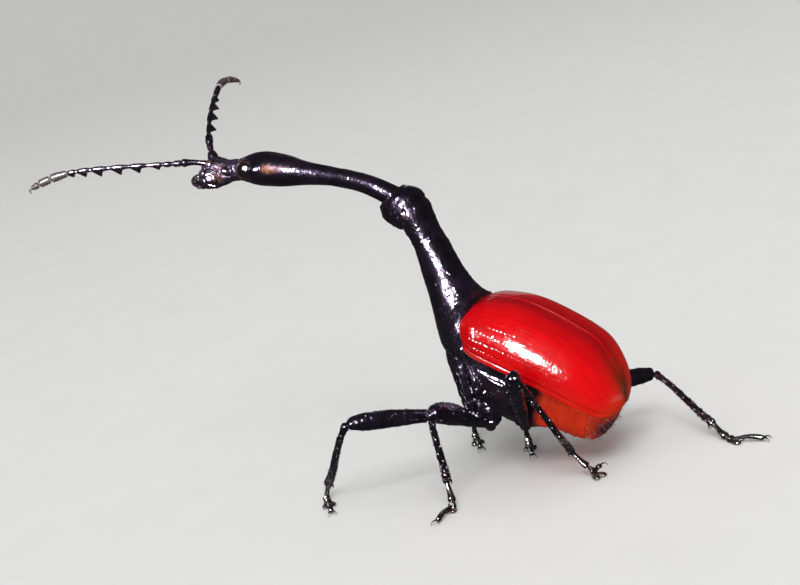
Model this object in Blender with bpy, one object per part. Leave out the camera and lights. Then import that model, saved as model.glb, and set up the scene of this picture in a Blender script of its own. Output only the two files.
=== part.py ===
"""Giraffe weevil, an adult male at life size, as a still display model.

World axes: the head looks to -Y, the left side is +X, up is +Z, and the six
feet rest on z = 0.  Lengths below are millimetres; every finished mesh is
scaled to metres by MM.  The elytra, the thorax under them and the abdomen share
one body frame: a along the body towards the head, b to the left, c up from the
plane of the elytral margins.
"""

import math

import bpy
import numpy as np

# ---------------------------------------------------------------- dimensions
MM = 0.001
GAP = 0.04              # thin cut between neighbouring plates
LIMB_R = 0.25           # no limb or feeler is thinner than twice this
ORIGIN = (-0.443, -3.754)  # middle of the footprint box, taken off every x, y

PITCH = math.radians(30.0)   # the body rears up by this much
HEIGHT = 6.15                # body-frame origin above the floor

ELYTRA_FRONT = 0.30
ELYTRA_LENGTH = 7.46
ELYTRA_HALF_WIDTH = 2.52
ELYTRA_ARCH = 2.25
ELYTRON_THICK = 0.50
SUTURE = 0.02

NECK_SIDES = 20
BODY_SIDES = 22

# name: colour, roughness, metallic
FINISH = {
    "cuticle": ((0.010, 0.009, 0.012), 0.16, 0.0),
    "elytra": ((0.62, 0.010, 0.012), 0.14, 0.0),
    "belly": ((0.60, 0.09, 0.02), 0.30, 0.0),
    "pygidium": ((0.25, 0.03, 0.02), 0.30, 0.0),
    "eye": ((0.006, 0.006, 0.008), 0.08, 0.0),
    "feeler": ((0.020, 0.012, 0.012), 0.22, 0.0),
    "tarsus": ((0.030, 0.018, 0.015), 0.25, 0.0),
}


# ------------------------------------------------------------------- helpers
def vec(*c):
    return np.array(c, float)


def unit(v):
    return v / np.linalg.norm(v)


def body(a, b, c):
    """Point of the body frame in world millimetres."""
    return vec(b, -a * math.cos(PITCH) + c * math.sin(PITCH),
               HEIGHT + a * math.sin(PITCH) + c * math.cos(PITCH))


def smooth(x, xs, ys):
    """Monotone cubic through a few named stations."""
    xs, ys = np.asarray(xs, float), np.asarray(ys, float)
    h = np.diff(xs)
    d = np.diff(ys) / h
    m = np.zeros(len(xs))
    m[0], m[-1] = d[0], d[-1]
    for i in range(1, len(xs) - 1):
        if d[i - 1] * d[i] > 0:
            w1, w2 = 2 * h[i] + h[i - 1], h[i] + 2 * h[i - 1]
            m[i] = (w1 + w2) / (w1 / d[i - 1] + w2 / d[i])
    x = np.clip(x, xs[0], xs[-1])
    i = np.clip(np.searchsorted(xs, x, side="right") - 1, 0, len(h) - 1)
    t = (x - xs[i]) / h[i]
    return ((2 * t**3 - 3 * t**2 + 1) * ys[i] + (t**3 - 2 * t**2 + t) * h[i] * m[i]
            + (-2 * t**3 + 3 * t**2) * ys[i + 1] + (t**3 - t**2) * h[i] * m[i + 1])


def oval(centre, e1, e2, r1, r2, sides, power=2.0):
    """Superellipse ring about a centre."""
    t = 2 * math.pi * (np.arange(sides) + 0.5) / sides
    k = 2.0 / power
    u = np.sign(np.cos(t)) * np.abs(np.cos(t))**k * r1
    v = np.sign(np.sin(t)) * np.abs(np.sin(t))**k * r2
    return centre + u[:, None] * e1 + v[:, None] * e2


def loft(rings):
    """Closed skin over rings of equal count: vertices and triangles."""
    n = len(rings[0])
    verts = np.concatenate(rings)
    faces = []
    for k in range(len(rings) - 1):
        a, b = k * n, (k + 1) * n
        for i in range(n):
            j = (i + 1) % n
            faces += [(a + i, a + j, b + j), (a + i, b + j, b + i)]
    verts = np.vstack([verts, rings[0].mean(0), rings[-1].mean(0)])
    c0, c1 = len(verts) - 2, len(verts) - 1
    last = (len(rings) - 1) * n
    for i in range(n):
        j = (i + 1) % n
        faces += [(c0, j, i), (c1, last + i, last + j)]
    faces = np.array(faces)
    if np.linalg.det(verts[faces]).sum() < 0:
        faces = faces[:, ::-1]
    return verts, faces


def mirrored(shape):
    verts, faces = shape
    return verts * vec(-1, 1, 1), faces[:, ::-1]


class Route:
    """Straight runs joined by arcs, read by the distance along them."""

    def __init__(self, points, bends, soft=0.02):
        points = [np.array(p, float) for p in points]
        self.points, self.tangents, self.corner = [points[0]], [unit(points[1] - points[0])], []
        for k in range(1, len(points) - 1):
            p0, p1, p2 = points[k - 1:k + 2]
            d0, d1 = unit(p1 - p0), unit(p2 - p1)
            turn = math.acos(max(-1.0, min(1.0, float(d0 @ d1))))
            if turn < soft:
                self.corner.append(len(self.points))
                self.points.append(p1)
                self.tangents.append(unit(d0 + d1))
                continue
            r = bends[k - 1]
            cut = r * math.tan(turn / 2)
            start, side = p1 - cut * d0, unit(d1 - (d1 @ d0) * d0)
            steps = max(2, int(math.ceil(turn / 0.30)))
            self.corner.append(len(self.points) + steps // 2)
            for s in range(steps + 1):
                w = turn * s / steps
                self.points.append(start + r * math.sin(w) * d0 + r * (1 - math.cos(w)) * side)
                self.tangents.append(math.cos(w) * d0 + math.sin(w) * side)
        self.points.append(points[-1])
        self.tangents.append(unit(points[-1] - points[-2]))
        self.s = np.concatenate([[0], np.cumsum(np.linalg.norm(np.diff(self.points, axis=0), axis=1))])
        self.length = self.s[-1]

    def at(self, s):
        k = int(np.clip(np.searchsorted(self.s, s) - 1, 0, len(self.s) - 2))
        t = (s - self.s[k]) / (self.s[k + 1] - self.s[k])
        p = self.points[k] * (1 - t) + self.points[k + 1] * t
        d = unit(self.tangents[k] * (1 - t) + self.tangents[k + 1] * t)
        return p, d

    def bend(self, k):
        """Distance along at the middle of bend k."""
        return self.s[self.corner[k]]

    def stations(self, s0, s1, step):
        """Distances from s0 to s1: every bend point, and no run longer than step."""
        marks = [s0] + [s for s in self.s if s0 + 0.02 < s < s1 - 0.02] + [s1]
        out = []
        for a, b in zip(marks, marks[1:]):
            n = max(1, int(math.ceil((b - a) / step)))
            out += [a + (b - a) * i / n for i in range(n)]
        return out + [s1]


def tube(route, s0, s1, step, radius, sides, side_hint, round_end=False):
    """Tube along part of a route, with a radius that is a function of s."""
    rings = []
    e1 = None
    marks = route.stations(s0, s1, step)
    for s in marks:
        p, d = route.at(s)
        e1 = side_hint if e1 is None else e1
        e1 = unit(e1 - (e1 @ d) * d)
        e2 = np.cross(d, e1)
        r = radius(s)
        rings.append(oval(p, e1, e2, r, r, sides))
    if round_end:
        p, d = route.at(s1)
        r = radius(s1)
        e1 = unit(e1 - (e1 @ d) * d)
        for w in (0.6, 1.1):
            rings.append(oval(p + d * r * 0.8 * math.sin(w), e1, np.cross(d, e1),
                              r * math.cos(w), r * math.cos(w), sides))
    return loft(rings)


def raw_object(name, shape):
    verts, faces = shape
    mesh = bpy.data.meshes.new(name)
    mesh.from_pydata([tuple(v) for v in verts], [], [tuple(int(i) for i in f) for f in faces])
    mesh.update()
    obj = bpy.data.objects.new(name, mesh)
    bpy.context.scene.collection.objects.link(obj)
    return obj


def carve(shape, *cutters):
    """Shape less every cutter, worked out at millimetre scale with exact Booleans."""
    target = raw_object("work", shape)
    helpers = []
    for k, cutter in enumerate(cutters):
        helper = raw_object(f"cutter_{k}", cutter)
        helpers.append(helper)
        cut = target.modifiers.new(f"cut_{k}", "BOOLEAN")
        cut.operation, cut.solver, cut.object = "DIFFERENCE", "EXACT", helper
    bpy.context.view_layer.update()
    graph = bpy.context.evaluated_depsgraph_get()
    evaluated = target.evaluated_get(graph)
    mesh = evaluated.to_mesh()
    mesh.calc_loop_triangles()
    verts = np.array([v.co[:] for v in mesh.vertices])
    faces = np.array([t.vertices[:] for t in mesh.loop_triangles])
    evaluated.to_mesh_clear()
    for obj in [target] + helpers:
        data = obj.data
        bpy.data.objects.remove(obj)
        bpy.data.meshes.remove(data)
    return largest(verts, faces)


def largest(verts, faces):
    """The biggest connected body of a mesh, without loose points."""
    label = np.arange(len(verts))
    while True:
        low = label[faces].min(1)
        new = label.copy()
        np.minimum.at(new, faces.ravel(), np.repeat(low, 3))
        new = new[new]
        if (new == label).all():
            break
        label = new
    groups = {}
    for k, f in enumerate(faces):
        groups.setdefault(int(label[f[0]]), []).append(k)
    size = {g: abs(np.linalg.det(verts[faces[ids]]).sum()) for g, ids in groups.items()}
    keep = faces[groups[max(size, key=size.get)]]
    used, index = np.unique(keep, return_inverse=True)
    return verts[used], index.reshape(keep.shape)


def material(kind):
    found = bpy.data.materials.get(kind)
    if found:
        return found
    colour, rough, metal = FINISH[kind]
    made = bpy.data.materials.new(kind)
    made.use_nodes = True
    shader = made.node_tree.nodes["Principled BSDF"]
    shader.inputs["Base Color"].default_value = (*colour, 1.0)
    shader.inputs["Roughness"].default_value = rough
    shader.inputs["Metallic"].default_value = metal
    return made


def node(name, shape, kind, sharp=35.0):
    verts, faces = shape
    placed = (verts - vec(ORIGIN[0], ORIGIN[1], 0)) * MM
    obj = raw_object(name, (placed, faces))
    obj.data.materials.append(material(kind))
    obj.data.shade_smooth()
    obj.data.set_sharp_from_angle(angle=math.radians(sharp))
    return obj


# ---------------------------------------------------------- elytra and trunk
def elytra_span(a):
    return (ELYTRA_FRONT - a) / ELYTRA_LENGTH


def elytra_width(s):
    return ELYTRA_HALF_WIDTH * smooth(s, [0, .06, .2, .5, .75, .9, .97, 1],
                                      [.78, .89, .96, 1, .95, .74, .48, .24])


def elytra_top(s):
    return ELYTRA_ARCH * smooth(s, [0, .1, .35, .7, .88, .96, 1],
                                [.66, .88, 1, .87, .49, .20, .02])


def elytra_margin(s):
    return ELYTRA_ARCH * smooth(s, [0, .15, .5, .8, .95, 1],
                                [.08, -.02, 0, -.04, -.15, -.20])


def arch_power(s):
    """Rounder across the shoulders, squarer further back."""
    return float(smooth(s, [0, .35, 1], [2.1, 2.5, 2.5]))


def quarter(s, width, top, foot, inner_y, count, power):
    """Outline from the margin up and over to the suture."""
    t = np.linspace(0, math.pi / 2, count)
    y = inner_y + (width - inner_y) * np.cos(t)**(2 / power)
    y[-1] = inner_y
    z = foot + (top - foot) * np.sin(t)**(2 / power)
    return y, z


def elytron_dome():
    """Left elytron before its hollow is cut: arch above, flat along margin and suture."""
    rings = []
    for s in (0, .035, .1, .2, .34, .5, .64, .76, .85, .92, .965, 1.0):
        a = ELYTRA_FRONT - s * ELYTRA_LENGTH
        w, top, foot = elytra_width(s), elytra_top(s), elytra_margin(s)
        y, z = quarter(s, w, max(top, foot + 0.30), foot, SUTURE, 10, arch_power(s))
        ring = [body(a, yy, zz) for yy, zz in zip(y, z)]
        ring += [body(a, SUTURE, foot), body(a, (SUTURE + w) / 2, foot)]
        rings.append(np.array(ring))
    return loft(rings)


def core_width(s):
    return np.maximum(elytra_width(s) - ELYTRON_THICK, 0.25)


def core_top(s):
    return np.maximum(elytra_top(s) - ELYTRON_THICK, elytra_margin(s) + 0.12)


HOLLOW_END = 0.90       # the elytra are solid behind this part of their length


def hollow():
    """What the elytra close over, grown by the gap and run down past their margins."""
    rings = []
    for s in (-.05, .04, .1, .2, .35, .5, .62, .73, .82, HOLLOW_END):
        a = ELYTRA_FRONT - s * ELYTRA_LENGTH
        q = max(s, 0.0)
        shrink = smooth(s, [-.05, .6, .82, HOLLOW_END], [1, 1, .93, .72])
        w, top, foot = core_width(q) * shrink + GAP, core_top(q) * shrink + GAP, elytra_margin(q)
        y, z = quarter(q, w, max(top, foot + 0.2), foot, 0, 8, arch_power(q))
        half = [(yy, zz) for yy, zz in zip(y, z)]
        ring = half + [(-yy, zz) for yy, zz in half[-2::-1]]
        ring += [(-w, foot - 0.9), (w, foot - 0.9)]
        rings.append(np.array([body(a, yy, zz) for yy, zz in ring]))
    return loft(rings)


def belly_depth(a):
    return smooth(-a, [-.1, .5, 1.3, 2.1, 3.0, 4.0, 5.2, 6.2, 6.75, 7.05],
                  [.75, 1.55, 2.75, 3.10, 2.90, 2.55, 2.80, 2.72, 2.25, 1.35])


def belly_width(a):
    return smooth(-a, [-.1, .5, 1.5, 3.0, 4.5, 5.6, 6.3, 6.8, 7.05],
                  [1.60, 1.90, 2.08, 2.12, 2.06, 1.85, 1.50, .95, .45])


def trunk_ring(a):
    """Section of the trunk: under the elytra above, belly below, with a step between."""
    s = float(np.clip(elytra_span(a), 0, 1))
    foot = elytra_margin(s)
    shrink = smooth(s, [0, .6, .82, HOLLOW_END, 1], [1, 1, .93, .70, .1])
    w, top = core_width(s) * shrink, core_top(s) * shrink
    if s > HOLLOW_END - 0.02:
        w, top = 0.0, foot
    low = foot - GAP
    points = []
    wide = max(belly_width(a), 0.2)
    if top - low > 0.2:
        y, z = quarter(s, w, top, low, 0, 7, arch_power(s))
        right_to_left = [(-yy, zz) for yy, zz in zip(y, z)][:-1] + list(zip(y, z))[::-1]
    else:
        w = wide * 0.9
        y = np.linspace(-w, w, 13)
        right_to_left = [(yy, low + 0.0 * yy) for yy in y]
    points += right_to_left
    t = np.linspace(0, math.pi, 13)
    k = 2 / 2.3
    depth = belly_depth(a)
    # the belly starts just under the margin plane and hangs as half an oval
    for tt in t:
        yy = wide * np.sign(math.cos(tt)) * abs(math.cos(tt))**k
        zz = low - (depth + low) * abs(math.sin(tt))**k
        points.append((yy, zz))
    return np.array([body(a, yy, zz) for yy, zz in points])


def trunk_part(a_front, a_back, inner):
    marks = [a_front] + [a for a in inner if a_back + 0.05 < a < a_front - 0.05] + [a_back]
    return loft([trunk_ring(a) for a in marks])


# ------------------------------------------------------------ head and neck
def profile_part(table, s0, s1, extra, sides, grow=0.0):
    """Loft along the mid-plane between two stations of a table of y, z, radius, side factor."""
    t = np.arange(len(table))
    marks = sorted({s0, s1, *[float(k) for k in t if s0 + 0.1 < k < s1 - 0.1],
                    *[k for k in extra if s0 + 0.1 < k < s1 - 0.1]})
    cols = np.array(table, float).T

    def station(q):
        return [float(smooth(q, t, c)) for c in cols]

    rings = []
    for q in marks:
        y, z, r, side = station(q)
        ya, za = station(max(q - 0.2, 0))[:2]
        yb, zb = station(min(q + 0.2, len(table) - 1))[:2]
        run = unit(vec(0, yb - ya, zb - za))
        rings.append(oval(vec(0, y, z), vec(1, 0, 0), vec(0, -run[2], run[1]),
                          r * side + grow, r + grow, sides))
    return loft(rings)


# y, z of the axis, radius in the mid-plane, width factor
HEAD = [
    (-2.62, 12.57, .470, 1.00),     # 0 neck, where it enters the collar
    (-3.17, 12.94, .445, 1.00),
    (-3.75, 13.25, .430, 1.00),
    (-4.52, 13.53, .418, 1.00),
    (-5.34, 13.79, .425, 1.00),     # 4
    (-6.71, 14.12, .545, 1.00),     # 5 neck widens into the vertex
    (-7.60, 14.35, .716, 1.02),
    (-8.55, 14.58, .788, 1.04),     # 7 widest part of the head
    (-9.17, 14.68, .724, 1.04),
    (-9.54, 14.71, .624, 1.02),     # 9 eyes
    (-10.10, 14.75, .490, 1.00),
    (-10.50, 14.77, .480, 1.00),    # 11 waist of the rostrum
    (-11.14, 14.79, .640, 1.06),
    (-11.75, 14.83, .655, 1.12),    # 13 flared apex with the antennal sockets
    (-12.22, 14.78, .500, 1.14),    # 14 front edge above the mandibles
]

# prothorax rings by their back and belly points: y, z of each, then half width
PROTHORAX = [
    (-1.86, 12.83, -3.10, 12.02, .74),     # 0 rim of the collar round the neck
    (-1.50, 12.75, -3.06, 11.62, .95),
    (-1.17, 12.44, -2.76, 11.30, 1.00),    # 2 bulb
    (-.92, 11.94, -2.46, 11.08, .90),
    (-.83, 11.36, -2.19, 10.93, .71),      # 4 waist
    (-.70, 10.72, -2.02, 10.46, .67),
    (-.46, 10.12, -1.92, 9.88, .74),
    (-.14, 9.10, -1.86, 8.80, .85),        # 7 cone
    (.12, 8.42, -1.80, 7.90, .98),
    (.28, 8.12, -1.76, 7.15, 1.13),        # 9
    (.36, 7.93, -1.70, 6.42, 1.33),
    (.40, 7.80, -1.56, 5.74, 1.56),
    (.42, 7.68, -1.16, 5.14, 1.76),        # 12
    (.42, 7.58, -.42, 4.86, 1.86),         # 13 slanted base against the elytra
]


def prothorax_part(k0, k1, rim=False, grow=0.0):
    rings = []
    for k, (yd, zd, yv, zv, half) in enumerate(PROTHORAX):
        if not k0 <= k <= k1:
            continue
        d, v = vec(0, yd, zd), vec(0, yv, zv)
        across = unit(d - v)
        r = np.linalg.norm(d - v) / 2
        if k == k0 and rim:
            out = unit(np.cross(across, vec(1, 0, 0)))
            out = out if out[2] > 0 else -out
            rings.append(oval((d + v) / 2 + out * .14, vec(1, 0, 0), across, half * .80, r * .80, BODY_SIDES))
        power = 2.0 + .25 * max(0, k - 9) / 4
        rings.append(oval((d + v) / 2, vec(1, 0, 0), across, half + grow, r + grow, BODY_SIDES, power))
    return loft(rings)


# -------------------------------------------------------------------- limbs
# joints of each leg: coxa base, coxa tip, knee, ankle, then the foot along the floor
LEGS = {
    "front_left": ((.60, -.86, 4.60), (.55, -.84, 2.50), (4.37, -5.00, 3.78), (3.41, -7.64, .50),
                   [(3.72, -7.58, .22), (4.55, -6.98, .20), (5.32, -6.35, .20)]),
    "front_right": ((-.60, -.86, 4.60), (-.55, -.84, 2.50), (-5.75, -2.20, 3.60), (-2.75, -3.15, .60),
                    [(-2.38, -2.98, .26), (-1.75, -2.55, .20), (-1.00, -2.02, .20)]),
    "mid_left": ((.85, .22, 3.60), (1.02, .10, 2.00), (4.75, -.41, 4.28), (4.21, -.86, .85),
                 [(4.55, -.62, .32), (5.25, -.32, .21), (6.35, -.40, .20)]),
    "mid_right": ((-.85, .22, 3.60), (-1.02, .10, 2.00), (-4.90, -.35, 3.15), (-1.95, -.05, .62),
                  [(-1.62, .14, .26), (-.95, .52, .20), (.02, 1.08, .20)]),
    "hind_left": ((1.10, 1.80, 3.30), (1.48, 1.98, 2.08), (4.25, 3.52, 5.43), (2.12, 4.18, 1.05),
                  [(2.10, 4.66, .44), (2.36, 5.28, .21), (2.78, 6.08, .20)]),
    "hind_right": ((-1.10, 1.80, 3.30), (-1.48, 1.98, 2.08), (-3.80, 5.90, 2.10), (-1.50, 9.04, .55),
                   [(-1.25, 9.40, .24), (-.65, 10.15, .20), (-.75, 11.35, .20)]),
}
COXA = {"front": (.64, .38), "mid": (.62, .40), "hind": (.60, .40)}   # radius at base, at tip
FEMUR = {"front": (.27, .43), "mid": (.28, .48), "hind": (.28, .42)}  # radius at base, at club
KNEE_BEND, ANKLE_BEND, TOE_BEND = .42, .34, .40


def coxa(name, grow=0.0):
    base, tip, *_ = LEGS[name]
    base, tip = vec(*base), vec(*tip)
    r0, r1 = COXA[name.split("_")[0]]
    run = unit(tip - base)
    e1 = unit(np.cross(run, vec(0, 1, 0)))
    e2 = np.cross(run, e1)
    rings = []
    length = np.linalg.norm(tip - base)
    for t in (0, .25, .5, .75, .92, 1.0):
        r = smooth(t, [0, .5, .85, 1.0], [r0, r0 * .93, r1 * 1.12, r1 * .72]) + grow
        rings.append(oval(base + run * (t * length + (grow if t == 1.0 else 0)), e1, e2, r, r, 14))
    verts, faces = loft(rings)
    side = 1 if name.endswith("left") else -1
    verts[:, 0] = side * np.maximum(side * verts[:, 0], GAP / 2 - grow)
    return verts, faces


def leg_route(name):
    base, tip, knee, ankle, foot = LEGS[name]
    return Route([tip, knee, ankle, *foot], [KNEE_BEND, ANKLE_BEND, TOE_BEND, TOE_BEND])


def leg_parts(name):
    base, tip, *_ = LEGS[name]
    base, tip = vec(*base), vec(*tip)
    route = leg_route(name)
    thin, club = FEMUR[name.split("_")[0]]
    r_tip = COXA[name.split("_")[0]][1]
    knee, ankle = route.bend(0), route.bend(1)
    start = r_tip * 0.9
    hint = vec(0, 0, 1)

    def femur_r(s):
        t = (s - start) / (knee - start)
        return float(smooth(t, [0, .15, .45, .72, .9, 1], [thin, thin, .80 * club, club, .34, LIMB_R + .03]))

    def tibia_r(s):
        t = (s - knee) / (ankle - knee)
        return float(smooth(t, [0, .1, .5, .9, 1], [LIMB_R + .03, LIMB_R, LIMB_R, LIMB_R + .02, LIMB_R]))

    def tarsus_r(s):
        t = (s - ankle) / (route.length - ankle)
        return float(smooth(t, [0, .25, .5, .7, 1], [LIMB_R, LIMB_R + .01, LIMB_R + .05, LIMB_R + .02, LIMB_R]))

    femur = tube(route, start, knee - GAP / 2, .55, femur_r, 10, hint)
    tibia = tube(route, knee + GAP / 2, ankle - GAP / 2, 1.0, tibia_r, 8, hint)
    verts, faces = tube(route, ankle + GAP / 2, route.length, .45, tarsus_r, 8, hint, round_end=True)
    verts[:, 2] = np.maximum(verts[:, 2], 0.0)      # the soles are flats on the floor
    return femur, tibia, (verts, faces)


# ------------------------------------------------------------------ feelers
SCAPE, FUNICLE, CLUB = 1.10, 5.10, 2.10
# heading: degrees from straight ahead towards its own side, and degrees up
FEELER = {
    "left": ((.52, -11.70, 15.22), [(26, 29), (28, 12), (27, 10), (26, 8), (26, -2), (27, -20)]),
    "right": ((-.52, -11.80, 15.22), [(47, 50), (62, 40), (72, 29), (73, 17), (75, -2), (78, -22)]),
}


def feeler_route(side):
    """Smooth curve whose heading turns through a few named directions."""
    start, turns = FEELER[side]
    sign = 1 if side == "left" else -1
    total = SCAPE + FUNICLE + CLUB
    at = [0, SCAPE, SCAPE + FUNICLE * .4, SCAPE + FUNICLE * .8, SCAPE + FUNICLE + .1, total]
    steps = 16
    p, points = vec(*start), []
    for k in range(steps + 1):
        s = total * k / steps
        az = math.radians(float(smooth(s, at, [a for a, _ in turns])))
        up = math.radians(float(smooth(s, at, [e for _, e in turns])))
        points.append(p.copy())
        p = p + total / steps * vec(sign * math.sin(az) * math.cos(up), -math.cos(az) * math.cos(up), math.sin(up))
    return Route(points, [.3] * (steps - 1), soft=.5)


def feeler_parts(side):
    route = feeler_route(side)
    hint = vec(0, 0, 1)
    cuts = (.20, SCAPE, SCAPE + FUNICLE, route.length)

    parts = []
    for k in range(3):
        s0 = cuts[k] + (GAP / 2 if k else 0)
        s1 = cuts[k + 1] - (GAP / 2 if k < 2 else 0.15)
        parts.append(tube(route, s0, s1, .9, lambda s, k=k: LIMB_R + (.02, 0, .03)[k], 8, hint, round_end=k == 2))
    return parts


# -------------------------------------------------------------------- build
def ball(centre, r, sides=12, rows=7, squash=(1, 1, 1)):
    rings = []
    for k in range(rows):
        w = math.pi * (k + 0.6) / (rows + 0.2) - math.pi / 2
        t = 2 * math.pi * np.arange(sides) / sides
        ring = np.stack([np.cos(t) * math.cos(w), np.sin(t) * math.cos(w),
                         np.full(sides, math.sin(w))], 1)
        rings.append(vec(*centre) + ring * r * vec(*squash))
    return loft(rings)


def mandible(side):
    """Short curved jaw in front of the rostrum."""
    sign = 1 if side == "left" else -1
    route = Route([vec(sign * .33, -12.34, 14.66), vec(sign * .36, -12.72, 14.60),
                   vec(sign * .27, -12.98, 14.56)], [.3])
    return tube(route, 0, route.length, .2, lambda s: .25 - .04 * s, 8, vec(0, 0, 1), round_end=True)


def main():
    for obj in list(bpy.data.objects):
        bpy.data.objects.remove(obj)

    eye_at = (.60, -9.36, 14.86)
    eye_r, eye_squash = .44, (.62, 1.0, .92)
    for side, sign in (("left", 1), ("right", -1)):
        centre = (sign * eye_at[0], eye_at[1], eye_at[2])
        head_solid = profile_part(HEAD, 4.5, 10.0, [], NECK_SIDES, grow=GAP)
        node(f"eye_{side}", carve(ball(centre, eye_r, squash=eye_squash), head_solid), "eye")

    node("neck", profile_part(HEAD, 0.0, 5.0 - .02, [], NECK_SIDES), "cuticle")
    node("head", profile_part(HEAD, 5.0 + .02, 10.0 - .04, [], NECK_SIDES), "cuticle")
    rostrum = profile_part(HEAD, 10.0 + .04, 14.0, [12.5, 13.6], NECK_SIDES)
    node("rostrum", rostrum, "cuticle")
    for side in ("left", "right"):
        node(f"mandible_{side}", mandible(side), "cuticle")

    neck_grown = profile_part(HEAD, 0.0, 3.0, [], NECK_SIDES, grow=GAP)
    prothorax = prothorax_part(0, 13, rim=True)
    node("prothorax", carve(prothorax, neck_grown), "cuticle")

    rostrum_grown = profile_part(HEAD, 9.0, 14.0, [12.5, 13.6], NECK_SIDES, grow=GAP)
    for side in ("left", "right"):
        for part, shape in zip(("scape", "funicle", "club"), feeler_parts(side)):
            if part == "scape":
                shape = carve(shape, rostrum_grown)
            node(f"{part}_{side}", shape, "feeler")

    prothorax_grown = prothorax_part(5, 13, grow=GAP)
    dome = carve(elytron_dome(), hollow(), prothorax_grown)
    node("elytron_left", dome, "elytra")
    node("elytron_right", mirrored(dome), "elytra")

    marks = [0, -.4, -.9, -1.4, -2.3, -3.0, -3.6, -4.6, -5.3, -5.8, -6.3, -6.6, -6.85]
    meso = trunk_part(.02, -1.9, marks)
    meta = trunk_part(-1.9 - GAP, -4.0, marks)
    node("mesothorax", carve(meso, prothorax_grown, coxa("front_left", GAP), coxa("front_right", GAP)), "cuticle")
    node("metathorax", meta, "cuticle")
    node("abdomen", trunk_part(-4.0 - GAP, -6.1, marks), "belly")
    node("pygidium", trunk_part(-6.1 - GAP, -7.0, marks), "pygidium")

    for name in LEGS:
        kind = name.split("_")[0]
        cutter = prothorax_grown if kind == "front" else trunk_grown(marks)
        node(f"coxa_{name}", carve(coxa(name), cutter), "cuticle")
        femur, tibia, tarsus = leg_parts(name)
        node(f"femur_{name}", carve(femur, coxa(name, GAP)), "cuticle")
        node(f"tibia_{name}", tibia, "cuticle")
        node(f"tarsus_{name}", tarsus, "tarsus")


def trunk_grown(marks):
    """Thorax and front of the abdomen, grown by the gap."""
    rings = []
    for a in [.02] + [m for m in marks if -5.2 < m < 0]:
        ring = trunk_ring(a)
        centre = ring.mean(0)
        out = ring - centre
        rings.append(centre + out * (1 + GAP / np.linalg.norm(out, axis=1))[:, None])
    return loft(rings)


main()
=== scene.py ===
"""Looks of the giraffe weevil display model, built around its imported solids.

Every surface is worked out in millimetres in the axes of the solids (x to the
animal's left, -y forward, z up) and set down in metres.  Shell plates, eyes,
jaws, feelers, legs and wing cases stay separate pieces; neck, head and rostrum
are one capsule, as in life.
"""

import math

import bpy
import numpy as np
from mathutils import Matrix, Vector


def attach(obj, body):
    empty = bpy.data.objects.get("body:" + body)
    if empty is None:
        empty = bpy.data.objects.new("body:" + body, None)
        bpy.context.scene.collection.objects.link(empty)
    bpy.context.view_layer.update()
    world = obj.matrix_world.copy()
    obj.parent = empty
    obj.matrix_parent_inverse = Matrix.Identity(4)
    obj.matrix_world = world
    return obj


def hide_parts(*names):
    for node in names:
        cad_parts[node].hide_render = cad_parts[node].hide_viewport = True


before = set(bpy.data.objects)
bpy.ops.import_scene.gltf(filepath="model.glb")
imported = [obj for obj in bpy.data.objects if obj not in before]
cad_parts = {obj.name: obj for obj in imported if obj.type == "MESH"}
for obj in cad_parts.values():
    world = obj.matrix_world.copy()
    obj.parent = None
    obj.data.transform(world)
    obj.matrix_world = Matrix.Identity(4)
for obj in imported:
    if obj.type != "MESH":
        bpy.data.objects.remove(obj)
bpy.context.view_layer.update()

MM = 0.001
ORIGIN = (-0.443, -3.754)
PITCH = math.radians(30.0)
HEIGHT = 6.15
RNG = np.random.default_rng(7)

ELYTRA_FRONT, ELYTRA_LENGTH, ELYTRA_HALF_WIDTH, ELYTRA_ARCH = 0.30, 7.46, 2.52, 2.25
ELYTRON_SHELL = 0.15


# --------------------------------------------------------------------- maths
def vec(*c):
    return np.array(c, float)


def unit(v):
    v = np.asarray(v, float)
    return v / np.maximum(np.linalg.norm(v, axis=-1, keepdims=True), 1e-12)


def body(a, b, c):
    """Body frame (along towards the head, left, up) to world millimetres."""
    a, b, c = np.broadcast_arrays(a, b, c)
    return np.stack([b, -a * math.cos(PITCH) + c * math.sin(PITCH),
                     HEIGHT + a * math.sin(PITCH) + c * math.cos(PITCH)], -1)


def smooth(x, xs, ys):
    """Monotone cubic through a few named stations."""
    xs, ys = np.asarray(xs, float), np.asarray(ys, float)
    h = np.diff(xs)
    d = np.diff(ys) / h
    m = np.zeros(len(xs))
    m[0], m[-1] = d[0], d[-1]
    for i in range(1, len(xs) - 1):
        if d[i - 1] * d[i] > 0:
            w1, w2 = 2 * h[i] + h[i - 1], h[i] + 2 * h[i - 1]
            m[i] = (w1 + w2) / (w1 / d[i - 1] + w2 / d[i])
    x = np.clip(x, xs[0], xs[-1])
    i = np.clip(np.searchsorted(xs, x, side="right") - 1, 0, len(h) - 1)
    t = (x - xs[i]) / h[i]
    return ((2 * t**3 - 3 * t**2 + 1) * ys[i] + (t**3 - 2 * t**2 + t) * h[i] * m[i]
            + (-2 * t**3 + 3 * t**2) * ys[i + 1] + (t**3 - t**2) * h[i] * m[i + 1])


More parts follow.
